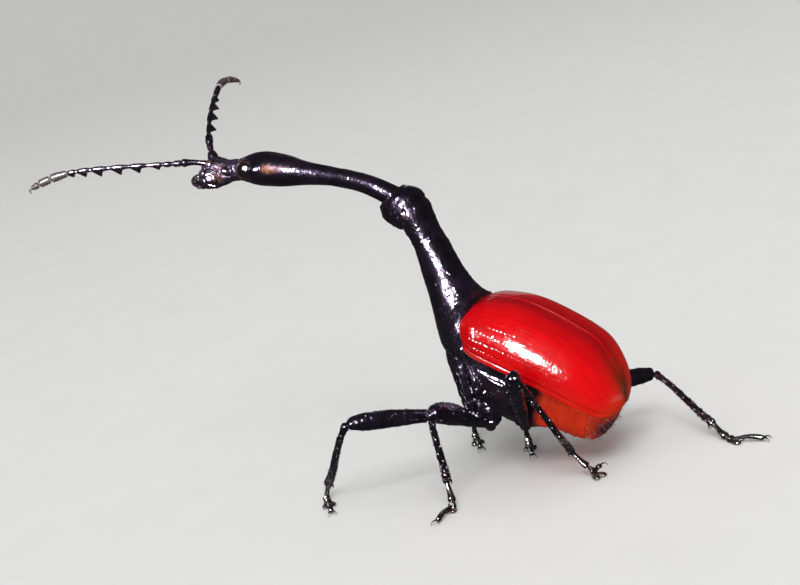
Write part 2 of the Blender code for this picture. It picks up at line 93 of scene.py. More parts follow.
def flow(x, xs, ys, sigma):
    """The same curve with its bends eased over sigma, run on straight past both ends."""
    xs = np.asarray(xs, float)
    pad = 4 * sigma
    t = np.linspace(xs[0] - pad, xs[-1] + pad, 3000)
    y = smooth(t, xs, ys)
    e = 1e-3 * (xs[-1] - xs[0])
    lo = (smooth(xs[0] + e, xs, ys) - smooth(xs[0], xs, ys)) / e
    hi = (smooth(xs[-1], xs, ys) - smooth(xs[-1] - e, xs, ys)) / e
    y = y + np.minimum(t - xs[0], 0) * lo + np.maximum(t - xs[-1], 0) * hi
    step = t[1] - t[0]
    k = np.arange(-int(3.5 * sigma / step) - 1, int(3.5 * sigma / step) + 2) * step
    k = np.exp(-0.5 * (k / sigma)**2)
    k /= k.sum()
    half = len(k) // 2
    left = y[0] + (np.arange(-half, 0)) * (y[1] - y[0])
    right = y[-1] + (np.arange(1, half + 1)) * (y[-1] - y[-2])
    y = np.convolve(np.concatenate([left, y, right]), k, mode="valid")
    return np.interp(x, t, y)


def bell(x, w):
    return np.exp(-(np.asarray(x) / w)**2)


def rise(x, a, b):
    t = np.clip((np.asarray(x, float) - a) / (b - a), 0, 1)
    return t * t * (3 - 2 * t)


def lattice(i, j, k, seed):
    with np.errstate(over="ignore"):
        n = (i.astype(np.uint32) * np.uint32(374761393) + j.astype(np.uint32) * np.uint32(668265263)
             + k.astype(np.uint32) * np.uint32(2246822519) + np.uint32((seed * 3266489917) % 2**32))
        n = (n ^ (n >> np.uint32(13))) * np.uint32(1274126177)
        n = n ^ (n >> np.uint32(16))
        n = n * np.uint32(2654435761)
        n = n ^ (n >> np.uint32(15))
    return n.astype(float) / 2**31 - 1.0


def noise(p, size, seed=0):
    """Soft lumps about size across, from -1 to 1."""
    q = np.asarray(p, float) / size
    f = np.floor(q)
    t = q - f
    t = t * t * t * (t * (t * 6 - 15) + 10)
    i, j, k = (f[..., n].astype(np.int64) for n in range(3))
    out = 0
    for di in (0, 1):
        for dj in (0, 1):
            for dk in (0, 1):
                w = ((t[..., 0] if di else 1 - t[..., 0]) * (t[..., 1] if dj else 1 - t[..., 1])
                     * (t[..., 2] if dk else 1 - t[..., 2]))
                out = out + w * lattice(i + di, j + dj, k + dk, seed)
    return out


def pits(p, size, seed=0, spread=0.30):
    """Round punctures scattered about size apart: 1 in a pit, 0 between."""
    q = np.asarray(p, float) / size
    f = np.floor(q)
    best = np.full(q.shape[:-1], 9.0)
    for di in (-1, 0, 1):
        for dj in (-1, 0, 1):
            for dk in (-1, 0, 1):
                cell = f + (di, dj, dk)
                i, j, k = (cell[..., n].astype(np.int64) for n in range(3))
                c = np.stack([cell[..., n] + .5 + .38 * lattice(i, j, k, seed + 11 + n) for n in range(3)], -1)
                best = np.minimum(best, ((q - c)**2).sum(-1))
    return np.exp(-best / spread**2)


def normals(P, wrap=True):
    du = np.gradient(P, axis=0)
    dv = (np.roll(P, -1, 1) - np.roll(P, 1, 1)) / 2 if wrap else np.gradient(P, axis=1)
    n = unit(np.cross(du, dv))
    centre = P.mean(1, keepdims=True)
    if ((P - centre) * n).sum() < 0:
        n = -n
    return n


def away(x, y, pts):
    """Distance from each (x, y) to a bent line."""
    best = np.full(np.broadcast(x, y).shape, 1e9)
    for (x0, y0), (x1, y1) in zip(pts, pts[1:]):
        dx, dy = x1 - x0, y1 - y0
        t = np.clip(((x - x0) * dx + (y - y0) * dy) / (dx * dx + dy * dy), 0, 1)
        best = np.minimum(best, np.hypot(x - x0 - t * dx, y - y0 - t * dy))
    return best


def by_length(curve, count, dense=False):
    """A bent line read again at even steps of length."""
    d = np.concatenate([[0], np.cumsum(np.linalg.norm(np.diff(curve, axis=0), axis=1))])
    t = np.linspace(0, d[-1], count)
    return np.stack([np.interp(t, d, curve[:, k]) for k in range(curve.shape[1])], 1), t


def line_through(points, count, ease=0.06):
    """Soft curve through a few points: positions and distance along."""
    points = np.array(points, float)
    d = np.concatenate([[0], np.cumsum(np.linalg.norm(np.diff(points, axis=0), axis=1))])
    t = np.linspace(0, d[-1], max(count * 4, 200))
    c = np.stack([flow(t, d, points[:, k], ease * d[-1]) for k in range(3)], 1)
    c += (points[0] - c[0]) * (1 - rise(t, 0, .3 * d[-1]))[:, None]
    c += (points[-1] - c[-1]) * rise(t, .7 * d[-1], d[-1])[:, None]
    return by_length(c, count)


# -------------------------------------------------------------------- pieces
class Skin:
    """A piece being made: points, faces, and named tones on the points."""

    def __init__(self, *tones):
        self.points, self.quads, self.tris, self.count = [], [], [], 0
        self.tones = {t: [] for t in tones}

    def add(self, points, quads, tris, tone):
        self.points.append(points)
        self.quads.append(np.asarray(quads, np.int64).reshape(-1, 4) + self.count)
        self.tris.append(np.asarray(tris, np.int64).reshape(-1, 3) + self.count)
        for name, kept in self.tones.items():
            kept.append(np.broadcast_to(np.asarray(tone.get(name, 0.0), float), (len(points),)))
        self.count += len(points)

    def grid(self, P, wrap=True, caps=(True, True), zips=(None, None), **tone):
        """Rings of points joined into a closed skin; zips closes a flat ring as a seam."""
        n, m = P.shape[:2]
        at = np.arange(n * m).reshape(n, m)
        nxt = np.roll(at, -1, 1) if wrap else at[:, 1:]
        cur = at if wrap else at[:, :-1]
        quads = np.stack([cur[:-1], nxt[:-1], nxt[1:], cur[1:]], -1).reshape(-1, 4)
        points = P.reshape(-1, 3)
        tris = []
        flat = {k: np.broadcast_to(np.asarray(v, float), (n, m)).reshape(-1) for k, v in tone.items()}
        for end, ring in ((0, at[0]), (1, at[-1])):
            if zips[end] is not None:
                strip = seam(ring[:zips[end]], ring[zips[end]:][::-1])
                tris.append(strip if end == 0 else strip[:, ::-1])
            elif caps[end]:
                centre = len(points)
                points = np.vstack([points, P[0 if end == 0 else -1].mean(0)])
                flat = {k: np.append(v, v[ring].mean()) for k, v in flat.items()}
                a, b = ring, np.roll(ring, -1)
                fan = np.stack([np.full(m, centre), b, a], -1)
                tris.append(fan if end == 0 else fan[:, ::-1])
        tris = np.concatenate(tris) if tris else np.zeros((0, 3), np.int64)
        mid = points.mean(0)
        q = points[quads] - mid
        volume = (np.cross(q[:, 0], q[:, 1]) * q[:, 2]).sum() + (np.cross(q[:, 0], q[:, 2]) * q[:, 3]).sum()
        if volume < 0:
            quads, tris = quads[:, ::-1], tris[:, ::-1]
        self.add(points, quads, tris, flat)

    def build(self, name, material, stands_for=(), uv=None):
        points = np.concatenate(self.points)
        quads = np.concatenate(self.quads)
        tris = np.concatenate(self.tris)
        placed = ((points - vec(ORIGIN[0], ORIGIN[1], 0)) * MM).astype(np.float32)
        mesh = bpy.data.meshes.new(name)
        mesh.vertices.add(len(placed))
        mesh.vertices.foreach_set("co", placed.ravel())
        corners = np.concatenate([quads.ravel(), tris.ravel()]).astype(np.int32)
        mesh.loops.add(len(corners))
        mesh.loops.foreach_set("vertex_index", corners)
        sizes = np.concatenate([np.full(len(quads), 4), np.full(len(tris), 3)])
        mesh.polygons.add(len(sizes))
        mesh.polygons.foreach_set("loop_start", (np.cumsum(sizes) - sizes).astype(np.int32))
        mesh.polygons.foreach_set("use_smooth", np.ones(len(sizes), bool))
        mesh.update(calc_edges=True)
        for tone, kept in self.tones.items():
            layer = mesh.attributes.new(tone, "FLOAT", "POINT")
            layer.data.foreach_set("value", np.concatenate(kept).astype(np.float32))
        if uv is not None:
            layer = mesh.uv_layers.new(name="OFBake")
            layer.data.foreach_set("uv", uv[corners].astype(np.float32).ravel())
        mesh.validate()
        mesh.materials.append(material)
        obj = bpy.data.objects.new(name, mesh)
        bpy.context.scene.collection.objects.link(obj)
        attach(obj, "root")
        if stands_for:
            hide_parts(*stands_for)
        if name.startswith(("prothorax", "thorax", "hip", "foot", "shin")):
            LOW_LIT.objects.link(obj)
        if name.startswith("shin"):
            SHIN_LIT.objects.link(obj)
        print(f"PIECE {name}: {2 * len(quads) + len(tris)} triangles")
        return obj


def seam(a, b):
    """Triangles between two rows of points that run the same way."""
    out, i, j = [], 0, 0
    while i < len(a) - 1 or j < len(b) - 1:
        if j == len(b) - 1 or (i < len(a) - 1 and (i + 1) / (len(a) - 1) <= (j + 1) / (len(b) - 1)):
            out.append((a[i], b[j], a[i + 1]))
            i += 1
        else:
            out.append((a[i], b[j], b[j + 1]))
            j += 1
    return np.array(out)


def carried(c, hint):
    """Tangents and two side vectors carried along a line of points."""
    t = unit(np.gradient(c, axis=0))
    e1 = np.zeros_like(c)
    e = np.asarray(hint, float)
    for k in range(len(c)):
        e = unit(e - (e @ t[k]) * t[k])
        e1[k] = e
    return t, e1, np.cross(t, e1)


def tube(c, r1, r2, around, hint, relief=None):
    """Tube about a line of points; relief(P, angle) is how far its skin stands out."""
    t, e1, e2 = carried(c, hint)
    th = 2 * math.pi * np.arange(around) / around
    r1, r2 = (np.broadcast_to(np.asarray(r, float), (len(c),)) for r in (r1, r2))
    P = (c[:, None] + (r1[:, None] * np.cos(th))[..., None] * e1[:, None]
         + (r2[:, None] * np.sin(th))[..., None] * e2[:, None])
    if relief is not None:
        P = P + normals(P) * relief(P, th)[..., None]
    return P


def capped(length, r0, r1, n, end=9):
    """Stations along a rod and the share of its radius, round at both ends."""
    r0, r1 = max(r0, 1e-3), max(r1, 1e-3)
    w = np.linspace(.12, math.pi / 2, end)
    head = r0 * (1 - np.cos(w))
    tail = length - r1 * (1 - np.cos(w[::-1]))
    mid = np.linspace(head[-1], tail[0], n + 2)[1:-1]
    s = np.concatenate([head, mid, tail])
    k = np.concatenate([np.sin(w), np.ones(n), np.sin(w[::-1])])
    return s, k


def along(line, s):
    """Points of a line (positions, distances) at distances s, run on past its ends."""
    c, d = line
    out = np.stack([np.interp(s, d, c[:, k]) for k in range(3)], -1)
    lo, hi = unit(c[0] - c[1]), unit(c[-1] - c[-2])
    out += np.maximum(d[0] - s, 0)[:, None] * lo + np.maximum(s - d[-1], 0)[:, None] * hi
    return out


# ----------------------------------------------------------------- materials
def new_material(name):
    made = bpy.data.materials.new(name)
    made.use_nodes = True
    nodes, links = made.node_tree.nodes, made.node_tree.links
    shader = nodes["Principled BSDF"]
    where = nodes.new("ShaderNodeTexCoord").outputs["Object"]
    return made, nodes, links, shader, where


def cloud(nodes, links, where, size_mm, detail=3.0, rough=0.55, stretch=None):
    n = nodes.new("ShaderNodeTexNoise")
    n.inputs["Scale"].default_value = 1.0 / (size_mm * MM)
    n.inputs["Detail"].default_value = detail
    n.inputs["Roughness"].default_value = rough
    if stretch:
        mapping = nodes.new("ShaderNodeMapping")
        mapping.inputs["Scale"].default_value = stretch
        links.new(where, mapping.inputs["Vector"])
        where = mapping.outputs["Vector"]
    links.new(where, n.inputs["Vector"])
    return n.outputs["Fac"]


def ramp(nodes, links, source, lo, hi, to_lo=0.0, to_hi=1.0):
    r = nodes.new("ShaderNodeMapRange")
    r.inputs["From Min"].default_value, r.inputs["From Max"].default_value = lo, hi
    r.inputs["To Min"].default_value, r.inputs["To Max"].default_value = to_lo, to_hi
    links.new(source, r.inputs["Value"])
    return r.outputs["Result"]


def tone(nodes, name):
    a = nodes.new("ShaderNodeAttribute")
    a.attribute_name = name
    return a.outputs["Fac"]


def blend(nodes, links, share, one, two):
    m = nodes.new("ShaderNodeMix")
    m.data_type = "RGBA"
    if hasattr(share, "links"):
        links.new(share, m.inputs["Factor"])
    else:
        m.inputs["Factor"].default_value = share
    colour = [s for s in m.inputs if s.type == "RGBA"]
    for value, socket in zip((one, two), colour):
        if hasattr(value, "links"):
            links.new(value, socket)
        else:
            socket.default_value = (*value, 1.0)
    return [s for s in m.outputs if s.type == "RGBA"][0]


def sums(nodes, links, op, one, two):
    m = nodes.new("ShaderNodeMath")
    m.operation = op
    for value, socket in ((one, m.inputs[0]), (two, m.inputs[1])):
        if hasattr(value, "links"):
            links.new(value, socket)
        else:
            socket.default_value = value
    return m.outputs[0]


def bumps(nodes, links, shader, layers):
    """Layers of (height, depth in mm), one over the other."""
    last = None
    for height, depth in layers:
        b = nodes.new("ShaderNodeBump")
        b.inputs["Strength"].default_value = 1.0
        b.inputs["Distance"].default_value = depth * MM
        links.new(height, b.inputs["Height"])
        if last is not None:
            links.new(last, b.inputs["Normal"])
        last = b.outputs["Normal"]
    links.new(last, shader.inputs["Normal"])


def gloss(shader, ior=1.5, specular=0.5, coat=0.0, coat_rough=0.04):
    shader.inputs["IOR"].default_value = ior
    shader.inputs["Specular IOR Level"].default_value = specular
    shader.inputs["Coat Weight"].default_value = coat
    shader.inputs["Coat Roughness"].default_value = coat_rough
    shader.inputs["Coat IOR"].default_value = 1.55


def make_cuticle(name="cuticle", plum=(.013, .0055, .017), black=(.0030, .0027, .0045), low=.13, high=.27, coat=.8,
                 grain=.0022):
    """Wet black chitin: plum in the thin places, fine scratches and shagreen."""
    made, nodes, links, shader, where = new_material(name)
    big = cloud(nodes, links, where, .55, 3)
    fine = cloud(nodes, links, where, .055, 2)
    tiny = cloud(nodes, links, where, .016, 2)
    mixed = blend(nodes, links, ramp(nodes, links, big, .42, .68), black, plum)
    # warm tone: orange; on the temples of the head capsule it paints warm reflections, elsewhere it is a faint brown
    # tint
    mixed = blend(nodes, links, tone(nodes, "warm"), mixed, (.90, .36, .16))
    # pale tone: on the jaws and palps it paints glints as pale speckles and pale beads
    mixed = blend(nodes, links, tone(nodes, "pale"), mixed, (.45, .40, .36))
    links.new(mixed, shader.inputs["Base Color"])
    rough = ramp(nodes, links, fine, .3, .7, low, high)
    rough = sums(nodes, links, "ADD", rough, sums(nodes, links, "MULTIPLY", tone(nodes, "dull"), .22))
    links.new(rough, shader.inputs["Roughness"])
    gloss(shader, 1.56, .65, coat, .045)
    shader.inputs["Specular Tint"].default_value = (.84, .66, 1.0, 1)
    links.new(ramp(nodes, links, tone(nodes, "dull"), 0, 1, coat, .05), shader.inputs["Coat Weight"])
    bumps(nodes, links, shader, [(fine, grain), (tiny, grain * .35)])
    return made


def make_elytra():
    """Sealing-wax red, clearer and more orange towards the apex, with painted shade over the upper side and a dark
    painted shade on the rear rim.
    """
    made, nodes, links, shader, where = new_material("elytra")
    big = cloud(nodes, links, where, 1.1, 2)
    fine = cloud(nodes, links, where, .07, 3, .6)
    tiny = cloud(nodes, links, where, .02, 2)
    red = blend(nodes, links, ramp(nodes, links, big, .35, .7), (.90, .0008, .0034), (.78, .0006, .0030))
    red = blend(nodes, links, ramp(nodes, links, fine, .45, .75, 0, .40), red, (.96, .0026, .008))
    # deep tone: darker red in the grooves and streaks, plus painted shade over the upper side near the suture
    red = blend(nodes, links, tone(nodes, "deep"), red, (.20, .0008, .0034))
    red = blend(nodes, links, tone(nodes, "orange"), red, (.85, .055, .004))
    # painted shade: the rear rim by the suture turned dark brown, standing in for the fall-off of the lamp there
    red = blend(nodes, links, tone(nodes, "olive"), red, (.062, .020, .002))
    red = blend(nodes, links, tone(nodes, "pale"), red, (.82, .36, .24))
    links.new(red, shader.inputs["Base Color"])
    links.new(ramp(nodes, links, fine, .3, .7, .12, .19), shader.inputs["Roughness"])
    gloss(shader, 1.5, .30, .75, .04)
    shader.inputs["Subsurface Weight"].default_value = .12
    shader.inputs["Subsurface Radius"].default_value = (1.0, .12, .06)
    shader.inputs["Subsurface Scale"].default_value = .25 * MM
    bumps(nodes, links, shader, [(fine, .0030), (tiny, .0010)])
    return made


def make_soft(name, one, two, dark, low, high, coat, size=.35, depth=.004):
    """Belly and pygidium: leathery chitin with a darker cloud where a tone asks for it."""
    made, nodes, links, shader, where = new_material(name)
    big = cloud(nodes, links, where, size, 4)
    fine = cloud(nodes, links, where, .05, 3)
    mixed = blend(nodes, links, ramp(nodes, links, big, .38, .66), one, two)
    mixed = blend(nodes, links, tone(nodes, "deep"), mixed, dark)
    mixed = blend(nodes, links, tone(nodes, "pale"), mixed, (.80, .66, .56))
    links.new(mixed, shader.inputs["Base Color"])
    links.new(ramp(nodes, links, fine, .3, .7, low, high), shader.inputs["Roughness"])
    gloss(shader, 1.5, .5, coat, .08)
    bumps(nodes, links, shader, [(big, depth), (fine, depth * .6)])
    return made


def make_eye():
    """Black lens facets over a brown core."""
    made, nodes, links, shader, where = new_material("eye")
    fine = cloud(nodes, links, where, .05, 2)
    mixed = blend(nodes, links, ramp(nodes, links, fine, .4, .7), (.006, .003, .005), (.030, .012, .014))
    mixed = blend(nodes, links, tone(nodes, "warm"), mixed, (.16, .065, .055))
    links.new(mixed, shader.inputs["Base Color"])
    links.new(ramp(nodes, links, fine, .3, .7, .08, .16), shader.inputs["Roughness"])
    gloss(shader, 1.56, .6, 1.0, .03)
    return made


def make_seta():
    """Stiff pale to light brown bristle, darker where its tone asks for it."""
    made, nodes, links, shader, where = new_material("seta")
    fine = cloud(nodes, links, where, .05, 2)
    mixed = blend(nodes, links, ramp(nodes, links, fine, .35, .7), (.62, .50, .34), (.40, .27, .15))
    mixed = blend(nodes, links, tone(nodes, "deep"), mixed, (.020, .013, .012))
    links.new(mixed, shader.inputs["Base Color"])
    links.new(ramp(nodes, links, fine, .3, .7, .22, .38), shader.inputs["Roughness"])
    gloss(shader, 1.5, .5, .3, .1)
    return made


CUTICLE = make_cuticle()
LEG = make_cuticle("leg_cuticle", (.010, .006, .015), (.0034, .0028, .0040), .13, .24, .75, .0014)
FEELER = make_cuticle("feeler_cuticle", (.020, .009, .016), (.0040, .0030, .0045), .15, .30, .6, .0018)
CLUB_SKIN = make_soft("feeler_club", (.055, .030, .052), (.105, .060, .085), (.012, .007, .010), .36, .55, .15, .16, .003)
ELYTRA = make_elytra()
BELLY = make_soft("belly", (.95, .046, .003), (.88, .030, .003), (.045, .008, .012), .16, .24, .50, .5, .0020)
PYGIDIUM = make_soft("pygidium", (.95, .046, .003), (.88, .030, .003), (.050, .010, .020), .16, .26, .45, .5, .0030)
EYE = make_eye()
PAD = make_soft("foot_pad", (.030, .014, .012), (.060, .032, .022), (.0045, .0032, .0040), .16, .32, .7, .08, .002)
SETA = make_seta()


# ---------------------------------------------------------- elytra and trunk
def span(a):
    return (ELYTRA_FRONT - a) / ELYTRA_LENGTH


def wing_width(s):
    return ELYTRA_HALF_WIDTH * flow(s, [0, .06, .2, .5, .75, .9, .97, 1], [.80, .895, .96, 1, .95, .75, .52, .34], .018)


def wing_top(s):
    return ELYTRA_ARCH * flow(s, [0, .1, .35, .7, .88, .96, 1], [.585, .83, .985, .87, .50, .20, .02], .018)


def wing_margin(s):
    return ELYTRA_ARCH * flow(s, [0, .15, .5, .8, .95, 1], [.06, -.02, 0, -.09, -.235, -.25], .02)


def wing_power(s):
    return flow(s, [0, .35, 1], [2.1, 2.45, 2.4], .04)


def lean(s, c):
    """How far the shoulder corner of an elytron is cut back."""
    return .50 * (1 - rise(c, 0.0, 1.10))**1.25 * np.exp(-(np.asarray(s) / .085)**1.3)


def elytron(side):
    """A closed wing case: sutural and marginal ridges, rows of punctures, thin lip."""
    n, m, inner = 330, 196, 26
    close = .945
    s = np.concatenate([np.linspace(0, close, n - 40), close + (1 - close) * np.sin(np.linspace(0, 1.50, 41)[1:])])
    kappa = np.sqrt(np.clip(1 - (np.clip(s - close, 0, None) / (1 - close))**2, .0, 1))
    kappa = np.maximum(kappa, .05)
    w, top, foot, power = wing_width(s), wing_top(s), wing_margin(s), wing_power(s)
    top = np.maximum(top, foot + .22)
    mid = foot + .40 * (top - foot)
    top, foot = mid + (top - mid) * kappa, mid + (foot - mid) * kappa
    gap = .006
    reach = (w - gap) * kappa**.8
    t = np.linspace(0, math.pi / 2, 260)
    P, D = np.zeros((n, m, 3)), np.zeros((n, m))
    for k in range(n):
        y = gap + reach[k] * np.cos(t)**(2 / power[k])
        z = foot[k] + (top[k] - foot[k]) * np.sin(t)**(2 / power[k])
        y[-1], z[-1] = gap, top[k]
        ring, d = by_length(np.stack([y, z], 1), m)
        a = ELYTRA_FRONT - s[k] * ELYTRA_LENGTH - lean(s[k], ring[:, 1])
        P[k] = body(a, ring[:, 0], ring[:, 1])
        D[k] = d
    whole = D[:, -1:]
    from_margin, from_suture = D, whole - D
    share = from_suture / whole
    N = normals(P, wrap=False)
    if (N[:, :, 0].mean()) < 0:
        N = -N
    base = P.copy()
    S = np.broadcast_to(s[:, None], D.shape)
    fade = rise(S, .0, .04) * (1 - rise(S, .93, .99))
    away_edge = rise(from_margin, .28, .42) * rise(from_suture, .16, .28)

    h = np.zeros_like(D)
    h += .026 * bell(from_suture - .060, .040) * fade * rise(S, .05, .3)
    h -= .032 * bell(from_suture - .150, .030) * fade
    h += .018 * bell(from_suture - .225, .034) * fade * rise(S, .2, .5)
    h -= .024 * bell(from_suture - .31, .030) * fade * rise(S, .15, .45)
    h -= .012 * bell(from_suture - .50, .034) * fade * rise(S, .15, .45)
    short = 1 - .75 * rise(S, .40, .52)
    h += .010 * bell(from_margin - .07, .060) * fade * short
    h -= .030 * bell(from_margin - .20, .042) * fade * (.3 + .7 * short)
    h += .010 * bell(from_margin - .31, .060) * fade * rise(S, .08, .3) * short
    # rows of punctures: eight striae that close up towards the apex
    rough = .15 + .85 * (1 - rise(S, .18, .46)) + .30 * rise(share, .62, .9)
    length_at = S * ELYTRA_LENGTH
    streak = .7 * rise(noise(np.stack([length_at * .12, from_suture, 0 * S], -1), .075, 6), .05, .8) * away_edge
    for j in range(9):
        place = (.095 + .098 * j)
        off = (share - place) * whole
        wave = .035 * noise(np.stack([length_at, np.full_like(S, j * 7.0), 0 * S], -1), .9, 5)
        off = off + wave
        h -= .0032 * bell(off, .050) * away_edge * fade * (.4 + .6 * rough)
        streak = streak + .8 * bell(off, .024) * away_edge * fade
        pitch = .185
        k = np.round(length_at / pitch + .37 * j)
        jitter = lattice(k.astype(np.int64), np.full(k.shape, j), np.zeros(k.shape, np.int64), 3)
        run = length_at - (k - .37 * j) * pitch - .035 * jitter
        size = .032 * (1 + .25 * lattice(k.astype(np.int64), np.full(k.shape, j + 40), np.zeros(k.shape, np.int64), 9))
        h -= .0185 * rough * np.exp(-(off**2 + run**2) / size**2) * away_edge * fade
    h += .0035 * noise(base, .16, 21) * fade + .0016 * noise(base, .06, 22) * fade
    h += .010 * noise(base, .75, 23) * fade
    h -= .014 * rough * pits(base, .30, 31, .15) * away_edge * fade
    # shoulder boss
    h += .10 * np.exp(-((S - .085) / .055)**2 - ((from_margin - .95) / .45)**2)
    h -= .03 * np.exp(-((S - .075) / .03)**2 - ((from_margin - 1.75) / .4)**2)
    P = base + N * h[..., None]

    # inner face, shell edges, and the loops round each section
    shell = (ELYTRON_SHELL * kappa)[:, None, None]
    pick = np.linspace(m - 1, 0, inner).round().astype(int)
    under = base[:, pick] - N[:, pick] * shell
    under[..., 0] = np.maximum(under[..., 0], gap)
    half_way = (P[:, 0] + under[:, -1]) / 2
    out = unit(np.gradient(base[:, :2], axis=1)[:, 0]) * -1
    lip = half_way + out * .045 * kappa[:, None]
    loop = np.concatenate([P, under, lip[:, None]], 1)
    centre = np.concatenate([base - N * shell / 2, base[:, pick] - N[:, pick] * shell / 2,
                             (base[:, :1] - N[:, :1] * shell / 2)], 1)
    # rounded front lip
    ahead = unit(loop[0] - loop[3])
    fronts = []
    for w_ in np.linspace(1.45, .2, 7):
        fronts.append(centre[0] + (loop[0] - centre[0]) * math.cos(w_) + ahead * ELYTRON_SHELL * .5 * math.sin(w_))
    loop = np.concatenate([np.array(fronts), loop], 0)
    if side == "right":
        loop = loop * vec(-1, 1, 1)

    # tones over the loops
    def ring_tone(value, inside=0.0):
        full = np.concatenate([value, np.full((n, inner + 1), inside)], 1)
        return np.concatenate([np.repeat(full[:1], 7, 0), full], 0)

    pale = .75 * (1 - rise(S, .0, .010)) + .30 * bell(from_margin - .0, .05) * (1 - rise(S, .1, .3))
    orange = .38 * rise(S, .90, 1.0) + .20 * rise(S, .40, .85) * bell(from_margin, .50)
    # painted shade: darkens the rear rim near the suture, where the lamp falls off
    olive = .92 * rise(S, .76, .97) * bell(share, .30)
    # deep: darker red along the sutural and marginal grooves, the striae streaks and the front of the side; the term
    # that darkens the upper side near the suture is painted shade
    deep = (.75 * bell(from_suture - .150, .040) + .55 * bell(from_suture - .31, .035) + .35 * bell(from_suture - .50, .04)
            + .45 * bell(from_margin - .20, .05) + .55 * (1 - rise(share, .10, .60)) * (1 - rise(S, .75, .95))
            + .17 * streak + .34 * (1 - rise(S, .02, .30)) * rise(share, .3, .6))
    lead = np.full((7, m + inner + 1), .75)
    full_pale = ring_tone(pale)
    full_pale[:7] = lead
    made = Skin("deep", "orange", "olive", "pale")
    made.grid(loop, zips=(m, m), deep=ring_tone(deep, .5), orange=ring_tone(orange), olive=ring_tone(olive),
              pale=full_pale)
    return made.build(f"wing_case_{side}", ELYTRA, [f"elytron_{side}"])


def belly_depth(a):
    return flow(-np.asarray(a), [-.3, .0, .5, 1.3, 2.1, 3.0, 3.6, 4.05, 4.5, 4.9, 5.5, 6.4, 6.75, 7.05],
                [.60, .95, 1.60, 2.75, 3.12, 3.17, 3.12, 2.86, 2.64, 2.54, 2.52, 2.42, 2.08, 1.40], .07)


def belly_width(a):
    return flow(-np.asarray(a), [-.3, -.1, .5, 1.5, 3.0, 4.5, 5.6, 6.3, 6.8, 7.05],
                [1.45, 1.62, 1.92, 2.10, 2.14, 2.08, 1.88, 1.52, 1.0, .55], .07)


def trunk(a, low_count, top_count):
    """Sections of the trunk: rings of points, and for each its place along and round."""
    n = len(a)
    s = np.clip(span(a), 0, 1)
    foot = wing_margin(s)
    close = np.sqrt(np.clip(1 - np.clip((s - .80) / .185, 0, 1)**2, 0, 1))
    over_w = np.maximum(wing_width(s) - .19, .1) * np.maximum(close, .02)
    over_top = foot + np.maximum(wing_top(s) - .20 - foot, .06) * np.maximum(close, .02)
    under_w, depth = belly_width(a), belly_depth(a)
    half = low_count + top_count - 1
    P = np.zeros((n, 2 * half - 2, 3))
    Q = np.zeros((n, 2 * half - 2))
    C = np.zeros_like(Q)
    tl, tt = np.linspace(-math.pi / 2, 0, 220), np.linspace(0, math.pi / 2, 160)
    for k in range(n):
        c = foot[k] - (depth[k] + foot[k]) * np.abs(np.sin(tl))**(2 / 2.3)
        b = (under_w[k] + (max(over_w[k], under_w[k] * .97) - under_w[k]) * rise(c, foot[k] - .5, foot[k])
             * (over_w[k] > under_w[k])) * np.abs(np.cos(tl))**(2 / 2.3)
        low, d = by_length(np.stack([b, c], 1), low_count)
        c = foot[k] + (over_top[k] - foot[k]) * np.sin(tt)**(2 / 2.3)
        b = low[-1, 0] * 0 + (over_w[k] + (low[-1, 0] - over_w[k]) * (1 - rise(tt, 0, .25))) * np.cos(tt)**(2 / 2.3)
        high, _ = by_length(np.stack([b, c], 1), top_count)
        left = np.vstack([low, high[1:]])
        ring = np.vstack([left, (left * vec(-1, 1))[-2:0:-1]])
        q = np.concatenate([d[-1] - d, -np.linspace(0, 1, top_count)[1:]])
        P[k] = body(a[k], ring[:, 0], ring[:, 1])
        Q[k] = np.concatenate([q, q[-2:0:-1]])
        C[k] = ring[:, 1]
    return P, Q, C


EDGE = [(-.55, .12), (-.80, .32), (-1.24, .56), (-1.77, .74), (-2.27, .80), (-2.63, .74), (-3.2, .60), (-3.9, .48)]


